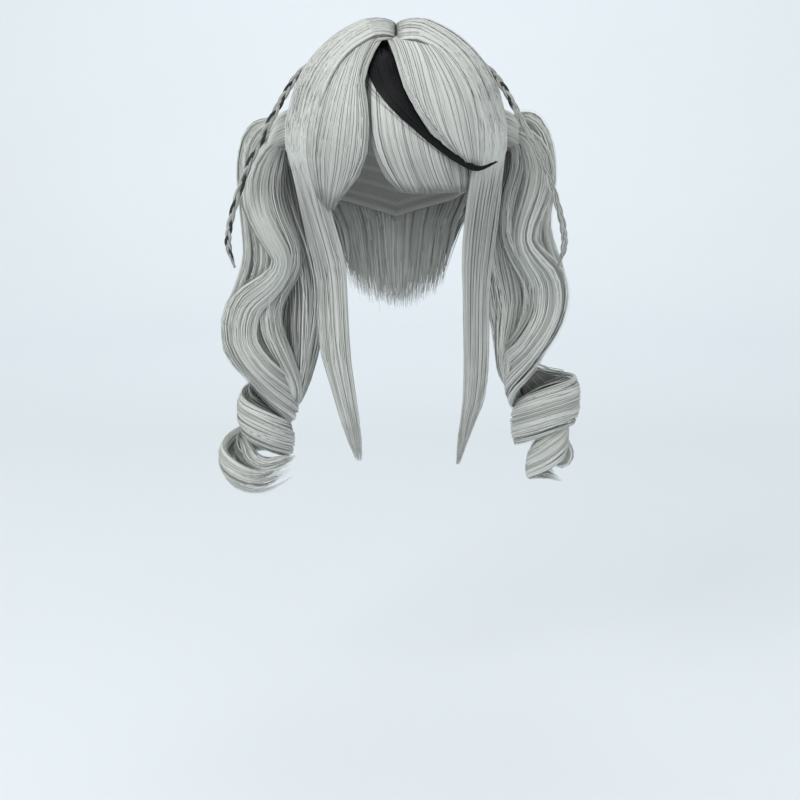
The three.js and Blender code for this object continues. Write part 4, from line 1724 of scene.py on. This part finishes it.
    def cross(self, piece: HairPiece, first: WaveLock, second: WaveLock) -> None:
        """Lays a few loose hairs that leave one lock and run on along another.

        Args:
            piece: Piece that takes the hairs.
            first: Lock that the hairs leave.
            second: Lock that they run on along.
        """
        rng = piece.rng
        layer = self.crossing
        share = layer.even() * (0.6 + 0.38 * layer.draw(rng))
        turn = math.pi * (0.25 + 0.5 * layer.draw(rng)) * np.ones_like(share)
        level = layer.levels(rng)
        flat = level * np.cos(turn)
        rise = level * np.sin(turn)
        left, away = TailLock(self.wave_rows(first), self.side).place(share, flat, rise)
        gained, out = TailLock(self.wave_rows(second), self.side).place(share, flat, rise)
        leave = 0.05 + 0.25 * layer.draw(rng)
        part = ease(0.0, 0.55, share - leave)[..., None]
        points = left + (gained - left) * part
        outward = unit(away + (out - away) * part)
        profile = tip_profile(layer.points, 0.1, 0.3, 0.1)
        piece.comb_in(layer, points, outward, np.ones_like(share), profile)

    def cover_root(self, piece: HairPiece) -> None:
        """Lays short strands over the tie, from the crown into the locks."""
        rng = piece.rng
        layer = self.cover
        turn = 2 * math.pi * (np.arange(layer.count) + rng.random(layer.count)) / layer.count
        aside = np.cos(turn)
        fall = np.sin(turn)
        below = np.maximum(fall, 0.0)
        reach = self.root_radius + rng.uniform(*self.root_spread, layer.count)
        steps = []
        for step in ROOT_STEPS:
            out = -(TAIL_ROOT.out + step.out - step.tuck * below)
            back = TAIL_ROOT.back + reach * step.size * aside
            level = -(TAIL_ROOT.down + step.drop + reach * step.size * fall)
            steps.append(np.stack([out, back, level], axis=-1))
        share = layer.even() * (0.7 + 0.3 * layer.draw(rng))
        points = through(np.stack(steps, axis=1), share)
        middle = np.array([-TAIL_ROOT.out, TAIL_ROOT.back, -TAIL_ROOT.down])
        outward = unit((points - middle) * np.array([0.4, 1.0, 1.0]))
        # Painted shade on the strands below the tie.
        shade = (1.0 - self.root_shade * below)[:, None] * np.ones_like(share)
        mirror = self.side.mirror
        profile = tip_profile(layer.points, 0.1, 0.3)
        piece.comb_in(layer, points * mirror, outward * mirror, shade, profile)


BRAID_LINE = (
    Place(69.1, 30.2, 15.9), Place(88.6, 20.8, 32),
    Place(99.5, 8, 48), Place(108.5, -5, 65),
    Place(120, -14, 87), Place(133, -18, 114),
    Place(144.5, -18, 144), Place(151, -16, 168),
    Place(152.5, -14, 184), Place(147, -13, 204),
)
BLACK_REACH = {Side.RIGHT: 1.1, Side.LEFT: 0.3}


@dataclass
class Braid:
    """Thin braid of three strands."""

    side: Side
    black_reach: float
    sway: float = 1.65
    weave: float = 0.8
    radius: float = 1.5
    pitch: float = 37.0
    strands: int = 3
    tip: float = 0.45
    tip_from: float = 0.88
    core_size: float = 0.9
    core_sides: int = 8
    core_shade: float = 0.6
    twist: float = 0.35
    black_tone: float = 0.04
    grey_tone: float = 0.82
    fibre: Layer = Layer(12, 66, 0.32, 0.16, 0.0, 1.0, 1.0, 0.16)

    def grow(self, piece: HairPiece) -> None:
        """Lays the three strands of the braid into a piece."""
        mirror = self.side.mirror
        line = RowCurve(np.array([(-row.out, row.back, -row.down) for row in BRAID_LINE]))
        turns = line.length() / self.pitch
        share = np.linspace(0.0, 1.0, self.fibre.points)
        middle = line.at(share)
        tangent = line.tangent(share)
        across = unit(np.cross(tangent, np.array(FORE)))
        over = unit(np.cross(across, tangent))
        size = 1.0 + (self.tip - 1.0) * ease(self.tip_from, 1.0, share)
        for strand in range(self.strands):
            phase = 2 * math.pi * (turns * share + strand / self.strands)
            black = (share < self.black_reach) & (strand == 0)
            tone = np.where(black, self.black_tone, self.grey_tone)
            path = middle + across * (size * self.sway * np.sin(phase))[:, None]
            path = path + over * (size * self.weave * np.sin(2 * phase))[:, None]
            self.bundle(piece, path * mirror, over * mirror, size, tone)

    def bundle(
        self, piece: HairPiece, path: Array, over: Array, size: Array, tone: Array
    ) -> None:
        """Lays one strand of the braid: a core with fibres round it.

        Args:
            piece: Piece that takes the strands.
            path: Middle line of the strand.
            over: Directions to the front of the braid.
            size: Scale of the braid along the line.
            tone: Lightness along the strand.
        """
        rng = piece.rng
        count = self.fibre.count
        profile = size * tip_profile(self.fibre.points, 0.02, 0.1, 0.3)
        core = np.full((1, 1), self.radius * self.core_size)
        # The core is darker: painted shade between the fibres.
        inner = self.core_shade * tone[None]
        piece.hair.add(Strands(path[None], over[None], core, core, inner, profile, self.core_sides))
        along = unit(np.gradient(path, axis=0))
        beside = unit(np.cross(over, along))
        out = np.cross(along, beside)
        turn = 2 * math.pi * (np.arange(count) + rng.random(count)) / count
        twist = turn[:, None] + self.twist * self.fibre.wander(rng, 6)
        reach = (self.radius * size)[None, :, None]
        offset = beside * np.cos(twist)[..., None] + out * np.sin(twist)[..., None]
        piece.comb_in(self.fibre, path[None] + reach * offset, offset, tone[None], profile)


@dataclass
class WigCap:
    """Net cap with sewn weft rows, open below and at the face."""

    wall: float = 2.0
    around: int = 96
    rows: int = 40
    edge: tuple[HemRow, ...] = (
        HemRow(0, 52), HemRow(40, 64),
        HemRow(62, 106), HemRow(90, 122),
        HemRow(130, 148), HemRow(180, 165),
    )

    def build(self, material: bpy.types.Material) -> None:
        """Makes the cap as a grid bent over the head and given a wall.

        Args:
            material: Material of the cap.
        """
        shape = bmesh.new()
        layer = shape.loops.layers.uv.new(BAKE_MAP)
        bmesh.ops.create_grid(shape, x_segments=self.around, y_segments=self.rows, size=1.0)
        for face in shape.faces:
            for loop in face.loops:
                loop[layer].uv = ((loop.vert.co.x + 1) / 2, (loop.vert.co.y + 1) / 2)
        for vert in shape.verts:
            vert.co = self.spot((vert.co.x + 1) / 2, (vert.co.y + 1) / 2)
        bmesh.ops.remove_doubles(shape, verts=shape.verts, dist=1e-6)
        bmesh.ops.recalc_face_normals(shape, faces=shape.faces)
        bmesh.ops.solidify(shape, geom=shape.faces, thickness=-self.wall * MM)
        dress(from_shape(shape, "wig_cap_net"), material, "wig_cap")

    def spot(self, around: float, down: float) -> Vector:
        """Place on the cap's inner face.

        Args:
            around: Share of the way round from the front.
            down: Share of the way from the crown to the edge.

        Returns:
            The place in metres.
        """
        angle = 360.0 * around
        folded = min(angle, 360.0 - angle)
        level = float(hem_level(folded, self.edge))
        last = math.acos((HEAD.half_height - level) / HEAD.half_height)
        turn = last * max(down, 0.004)
        ring = math.sin(turn)
        return Vector(
            (
                HEAD.half_width * ring * math.sin(math.radians(angle)),
                -HEAD.half_depth * ring * math.cos(math.radians(angle)),
                HEAD.half_height * (math.cos(turn) - 1.0),
            )
        ) * MM


@dataclass
class PonytailTie:
    """Elastic ring round the root of a ponytail."""

    side: Side
    ring: float = 14.0
    cord: float = 3.0
    ring_steps: int = 64
    cord_sides: int = 16

    def build(self, material: bpy.types.Material) -> None:
        """Makes the ring by spinning a circle.

        Args:
            material: Material of the ring.
        """
        name = f"ponytail_tie_{self.side.label}"
        shape = bmesh.new()
        bmesh.ops.create_circle(shape, segments=self.cord_sides, radius=self.cord * MM)
        bmesh.ops.rotate(shape, verts=shape.verts, matrix=Matrix.Rotation(math.pi / 2, 3, "X"))
        bmesh.ops.translate(shape, verts=shape.verts, vec=(self.ring * MM, 0, 0))
        bmesh.ops.spin(
            shape,
            geom=shape.verts[:] + shape.edges[:],
            angle=2 * math.pi,
            steps=self.ring_steps,
            axis=(0, 0, 1),
            cent=(0, 0, 0),
            use_merge=True,
        )
        bmesh.ops.remove_doubles(shape, verts=shape.verts, dist=1e-6)
        bmesh.ops.recalc_face_normals(shape, faces=shape.faces)
        bmesh.ops.rotate(shape, verts=shape.verts, matrix=Matrix.Rotation(math.pi / 2, 3, "Y"))
        place = Vector((self.side.value * TAIL_ROOT.out, TAIL_ROOT.back, -TAIL_ROOT.down)) * MM
        bmesh.ops.translate(shape, verts=shape.verts, vec=place)
        dress(from_shape(shape, f"{name}_ring"), material, name)


class Val:
    """Value socket of a shader tree that takes part in Python expressions."""

    def __init__(self, tree: "Tree", socket: bpy.types.NodeSocket) -> None:
        """Keeps the tree and the socket."""
        self.tree = tree
        self.socket = socket

    def _math(self, operation: str, first: Any, second: Any) -> "Val":
        """Math node of two values."""
        return self.tree.node("ShaderNodeMath", {"operation": operation}, {0: first, 1: second})

    def __add__(self, other: Any) -> "Val":
        """Sum."""
        return self._math("ADD", self, other)

    __radd__ = __add__

    def __sub__(self, other: Any) -> "Val":
        """Difference."""
        return self._math("SUBTRACT", self, other)

    def __rsub__(self, other: Any) -> "Val":
        """Difference from a number."""
        return self._math("SUBTRACT", other, self)

    def __mul__(self, other: Any) -> "Val":
        """Product."""
        return self._math("MULTIPLY", self, other)

    __rmul__ = __mul__

    def __pow__(self, other: Any) -> "Val":
        """Power."""
        return self._math("POWER", self, other)


class Tree:
    """Shader tree of one material, with its shader node."""

    def __init__(self, name: str) -> None:
        """Starts a material with one shader and its output."""
        self.material = bpy.data.materials.new(name)
        self.material.use_nodes = True
        self.nodes = self.material.node_tree.nodes
        self.links = self.material.node_tree.links
        self.nodes.clear()
        output = self.nodes.new("ShaderNodeOutputMaterial")
        self.shader = self.nodes.new("ShaderNodeBsdfPrincipled")
        self.links.new(self.shader.outputs["BSDF"], output.inputs["Surface"])

    def node(
        self,
        kind: str,
        settings: dict[str, Any] | None = None,
        inputs: dict[int | str, Any] | None = None,
        out: int | str = 0,
    ) -> Val:
        """Adds a node.

        Args:
            kind: Type of the node.
            settings: Settings made before the sockets; stops sets a ramp's stops.
            inputs: Numbers, colours or values for its sockets.
            out: Socket that the result is read from.

        Returns:
            The chosen output.
        """
        made = self.nodes.new(kind)
        for key, value in (settings or {}).items():
            if key == "stops":
                self.set_stops(made, value)
            else:
                setattr(made, key, value)
        for key, value in (inputs or {}).items():
            self.feed(made.inputs[key], value)
        return Val(self, made.outputs[out])

    def mix(self, share: Val, first: Any, second: Any) -> Val:
        """Mixes two colours, each three numbers or a value, by a share of the second."""
        colours = [part if isinstance(part, Val) else (*part, 1.0) for part in (first, second)]
        sockets = {"Factor": share, "A": colours[0], "B": colours[1]}
        return self.node("ShaderNodeMix", {"data_type": "RGBA"}, sockets, 2)

    def bump(self, strength: float, depth: float, height: Val) -> Val:
        """Normal of a surface whose relief has a strength and a depth in metres."""
        sockets = {"Strength": strength, "Distance": depth, "Height": height}
        return self.node("ShaderNodeBump", inputs=sockets)

    @staticmethod
    def set_stops(ramp: bpy.types.Node, stops: Sequence[tuple[float, tuple[float, ...]]]) -> None:
        """Sets the stops of a colour ramp."""
        elements = ramp.color_ramp.elements
        while len(elements) < len(stops):
            elements.new(0.5)
        for element, (place, colour) in zip(elements, stops):
            element.position = place
            element.color = (*colour, 1.0)

    def feed(self, socket: bpy.types.NodeSocket, value: Any) -> None:
        """Links a value to a socket, or sets a number or colour on it."""
        if isinstance(value, Val):
            self.links.new(value.socket, socket)
        else:
            socket.default_value = value

    def set(self, **sockets: Any) -> None:
        """Feeds the shader's sockets, with _ for a space in their names."""
        for name, value in sockets.items():
            self.feed(self.shader.inputs[name.replace("_", " ")], value)


Colour = Triple


@dataclass(frozen=True)
class FibreFinish:
    """Finish of hair fibre: its colours from dark to light and its gloss."""

    name: str
    dark: Colour
    middle: Colour
    light: Colour
    rough: float
    rough_spread: float
    gloss: float
    drawn: Triple = (0.6, 0.012, 1.0)
    mottle_scale: float = 60.0
    tone_base: float = 0.62
    tone_mottle: float = 0.1
    tone_streak: float = 0.66
    relief: float = 0.35
    relief_depth: float = 0.0003

    def make(self) -> bpy.types.Material:
        """Makes the material.

        Returns:
            The material.
        """
        tree = Tree(self.name)
        tone = tree.node("ShaderNodeAttribute", {"attribute_name": TONE}, out="Fac")
        spot = tree.node("ShaderNodeTexCoord", out="Object")
        mottle = tree.node(
            "ShaderNodeTexNoise",
            inputs={"Vector": spot, "Scale": self.mottle_scale, "Detail": 3.0},
        )
        grain = tree.node("ShaderNodeAttribute", {"attribute_name": GRAIN}, out="Vector")
        drawn = tree.node("ShaderNodeVectorMath", {"operation": "MULTIPLY"}, {0: grain, 1: self.drawn})
        streak = tree.node("ShaderNodeTexNoise", inputs={"Vector": drawn, "Scale": 1.0, "Detail": 4.0})
        level = tone * (self.tone_base + self.tone_mottle * mottle + self.tone_streak * streak)
        colour = tree.node(
            "ShaderNodeValToRGB",
            {"stops": ((0.0, self.dark), (0.5, self.middle), (1.0, self.light))},
            {"Fac": level},
            "Color",
        )
        bump = tree.bump(self.relief, self.relief_depth, streak)
        tree.set(Base_Color=colour, Roughness=self.rough + self.rough_spread * streak, Normal=bump)
        tree.set(Specular_IOR_Level=self.gloss)
        return tree.material


@dataclass(frozen=True)
class NetFinish:
    """Finish of the cap: a fine net with sewn weft rows."""

    name: str
    thread: Colour
    gap: Colour
    weft: Colour
    across: float
    along: float
    wefts: float
    weft_power: float = 3.0
    weave_rise: float = 0.4
    relief: float = 0.5
    relief_depth: float = 0.0008
    rough: float = 0.9
    weft_gloss: float = 0.15

    def make(self) -> bpy.types.Material:
        """Makes the material.

        Returns:
            The material.
        """
        tree = Tree(self.name)
        place = tree.node("ShaderNodeUVMap", {"uv_map": BAKE_MAP}, out="UV")
        split = tree.node("ShaderNodeSeparateXYZ", inputs={0: place}, out="X")
        height = Val(tree, split.socket.node.outputs["Y"])
        weave = self.ridge(tree, split, self.across) * self.ridge(tree, height, self.along)
        rows = self.ridge(tree, height, self.wefts) ** self.weft_power
        colour = tree.mix(rows, tree.mix(weave, self.gap, self.thread), self.weft)
        bump = tree.bump(self.relief, self.relief_depth, weave * self.weave_rise + rows)
        tree.set(Base_Color=colour, Roughness=self.rough - self.weft_gloss * rows, Normal=bump)
        return tree.material

    @staticmethod
    def ridge(tree: Tree, place: Val, count: float) -> Val:
        """Rows of soft ridges, from 0 to 1, along a share."""
        turn = tree.node("ShaderNodeMath", {"operation": "SINE"}, {0: place * (2 * math.pi * count)})
        return turn * 0.5 + 0.5


@dataclass(frozen=True)
class ElasticFinish:
    """Finish of covered elastic: ribs of thread round the ring."""

    name: str
    light: Colour
    dark: Colour
    scale: float
    distortion: float = 1.5
    relief: float = 0.4
    relief_depth: float = 0.0004
    rough: float = 0.7
    rough_spread: float = 0.15

    def make(self) -> bpy.types.Material:
        """Makes the material.

        Returns:
            The material.
        """
        tree = Tree(self.name)
        spot = tree.node("ShaderNodeTexCoord", out="Object")
        rib = tree.node(
            "ShaderNodeTexWave",
            {"bands_direction": "Y"},
            {"Vector": spot, "Scale": self.scale, "Distortion": self.distortion, "Detail": 2.0},
            "Fac",
        )
        colour = tree.mix(rib, self.dark, self.light)
        bump = tree.bump(self.relief, self.relief_depth, rib)
        tree.set(Base_Color=colour, Roughness=self.rough + self.rough_spread * rib, Normal=bump)
        return tree.material


SILVER = FibreFinish(
    name="silver_fibre",
    dark=(0.012, 0.012, 0.012),
    middle=(0.2, 0.205, 0.195),
    light=(0.645, 0.66, 0.62),
    rough=0.42,
    rough_spread=0.14,
    gloss=0.4,
)
BLACK = FibreFinish(
    name="black_fibre",
    dark=(0.0015, 0.0015, 0.002),
    middle=(0.004, 0.004, 0.005),
    light=(0.013, 0.013, 0.015),
    rough=0.32,
    rough_spread=0.12,
    gloss=0.15,
)
NET = NetFinish(
    name="cap_net",
    thread=(0.6, 0.585, 0.56),
    gap=(0.42, 0.41, 0.39),
    weft=(0.55, 0.545, 0.53),
    across=220.0,
    along=110.0,
    wefts=15.0,
)
ELASTIC = ElasticFinish("covered_elastic", (0.36, 0.36, 0.37), (0.2, 0.2, 0.21), 320.0)


@dataclass(frozen=True)
class LightRow:
    """Soft studio lamp: where it stands, its size, power and colour."""

    name: str
    place: Triple
    size: float
    power: float
    colour: Colour
    aim: Triple = (0.0, 0.0, -0.15)


@dataclass
class Studio:
    """Camera, soft lamps and a plain pale sweep."""

    camera_place: Triple = (0.0034, -1.373, -0.0235)
    camera_pitch: float = 12.6
    lens: float = 67.5
    sensor_width: float = 36.0
    clip_start: float = 0.05
    floor_level: float = -0.66
    floor_half_width: float = 12.0
    floor_near: float = -10.0
    floor_far: float = 2.2
    curve_radius: float = 1.2
    curve_steps: int = 16
    wall_height: float = 4.0
    floor_colour: Colour = (0.775, 0.815, 0.835)
    floor_mottle: float = 0.97
    floor_rough: float = 0.9
    sky: Colour = (0.95, 0.975, 1.0)
    sky_strength: float = 0.9
    lamps: tuple[LightRow, ...] = (
        LightRow("key_lamp", (-1.15, -1.4, 1.1), 1.1, 15.5, (0.99, 0.99, 0.985)),
        LightRow("fill_lamp", (1.2, -1.4, 0.3), 1.2, 1.8, (0.98, 0.99, 1.0)),
        LightRow("top_lamp", (0.0, 0.4, 1.4), 1.0, 3.0, (0.97, 0.98, 1.0)),
        LightRow("wall_lamp", (0.0, 1.0, 1.5), 1.2, 18.0, (0.97, 0.98, 1.0), (0.0, 3.3, 1.7)),
    )

    def build(self) -> None:
        """Sets up the camera, the lamps, the sky and the floor."""
        scene = bpy.context.scene
        scene.view_settings.view_transform = "Standard"
        camera = linked("camera", bpy.data.cameras.new("camera"))
        camera.data.lens = self.lens
        camera.data.sensor_width = self.sensor_width
        camera.data.clip_start = self.clip_start
        camera.location = self.camera_place
        camera.rotation_euler = (math.radians(90.0 - self.camera_pitch), 0.0, 0.0)
        scene.camera = camera
        for row in self.lamps:
            self.lamp(row)
        world = bpy.data.worlds.new("pale_sky")
        world.use_nodes = True
        sky = world.node_tree.nodes["Background"]
        sky.inputs["Color"].default_value = (*self.sky, 1.0)
        sky.inputs["Strength"].default_value = self.sky_strength
        scene.world = world
        self.sweep()

    def lamp(self, row: LightRow) -> None:
        """Makes one soft lamp aimed at the wig."""
        data = bpy.data.lights.new(row.name, "AREA")
        data.size = row.size
        data.energy = row.power
        data.color = row.colour
        lamp = linked(row.name, data)
        lamp.location = row.place
        aim = Vector(row.aim) - Vector(row.place)
        lamp.rotation_euler = aim.to_track_quat("-Z", "Y").to_euler()

    def sweep(self) -> None:
        """Makes the pale floor, which curves up into a wall behind."""
        shape = bmesh.new()
        near = shape.verts.new((-self.floor_half_width, self.floor_near, self.floor_level))
        far = shape.verts.new((-self.floor_half_width, self.floor_far, self.floor_level))
        shape.edges.new((near, far))
        bmesh.ops.spin(
            shape,
            geom=[far],
            angle=math.pi / 2,
            steps=self.curve_steps,
            axis=(1, 0, 0),
            cent=(-self.floor_half_width, self.floor_far, self.floor_level + self.curve_radius),
        )
        top = max(shape.verts, key=lambda vert: vert.co.z)
        lifted = bmesh.ops.extrude_vert_indiv(shape, verts=[top])["verts"]
        bmesh.ops.translate(shape, verts=lifted, vec=(0.0, 0.0, self.wall_height))
        made = bmesh.ops.extrude_edge_only(shape, edges=shape.edges[:])["geom"]
        moved = [item for item in made if isinstance(item, bmesh.types.BMVert)]
        bmesh.ops.translate(shape, verts=moved, vec=(2 * self.floor_half_width, 0.0, 0.0))
        bmesh.ops.recalc_face_normals(shape, faces=shape.faces)
        tree = Tree("pale_floor")
        spot = tree.node("ShaderNodeTexCoord", out="Object")
        mottle = tree.node("ShaderNodeTexNoise", inputs={"Vector": spot, "Scale": 2.0})
        tint = tuple(self.floor_mottle * part for part in self.floor_colour)
        colour = tree.mix(mottle, tint, self.floor_colour)
        tree.set(Base_Color=colour, Roughness=self.floor_rough)
        floor = from_shape(shape, "studio_floor")
        floor.data.materials.append(tree.material)


Grower = Callable[[HairPiece], None]


class Wig:
    """The whole wig: its finishes and every piece in order."""

    def __init__(self) -> None:
        """Makes the finishes."""
        self.silver = SILVER.make()
        self.black = BLACK.make()
        self.net = NET.make()
        self.elastic = ELASTIC.make()

    def build(self) -> None:
        """Makes every piece of the wig."""
        WigCap().build(self.net)
        self.hair("nape_hair", NapeHair().grow)
        self.hair("fringe", LOWER_FRINGE.grow)
        self.hair("fringe_sweep_left", SWEEP_LEFT.grow)
        self.hair("fringe_sweep_right", SWEEP_RIGHT.grow)
        self.hair("black_streak", BlackStreak().grow, Slot.BLACK)
        for side in Side:
            self.hair(f"crown_hair_{side.label}", CrownHair(side, FRONT_REACH[side]).grow)
            self.hair(f"side_lock_{side.label}", SideLock(side).grow)
            self.hair(f"ponytail_{side.label}", Ponytail(side, REAR_LENGTH[side]).grow)
            PonytailTie(side).build(self.elastic)
            self.hair(f"braid_{side.label}", Braid(side, BLACK_REACH[side]).grow)

    def hair(self, node: str, grow: Grower, slot: Slot = Slot.HAIR) -> None:
        """Makes one body of hair.

        Args:
            node: Node that the piece stands for.
            grow: Method that lays its strands.
            slot: Slot of the record that its finish comes from.
        """
        material = self.black if slot is Slot.BLACK else self.silver
        piece = HairPiece(node, slot, material, np.random.default_rng([SEED, *node.encode()]))
        grow(piece)
        piece.finish()


def main() -> None:
    """Loads the frame, builds the studio and the wig, and notes the sizes."""
    logging.basicConfig(level=logging.INFO, format="%(name)s %(message)s")
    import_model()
    Studio().build()
    Wig().build()
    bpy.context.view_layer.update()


if __name__ == "__main__":
    main()
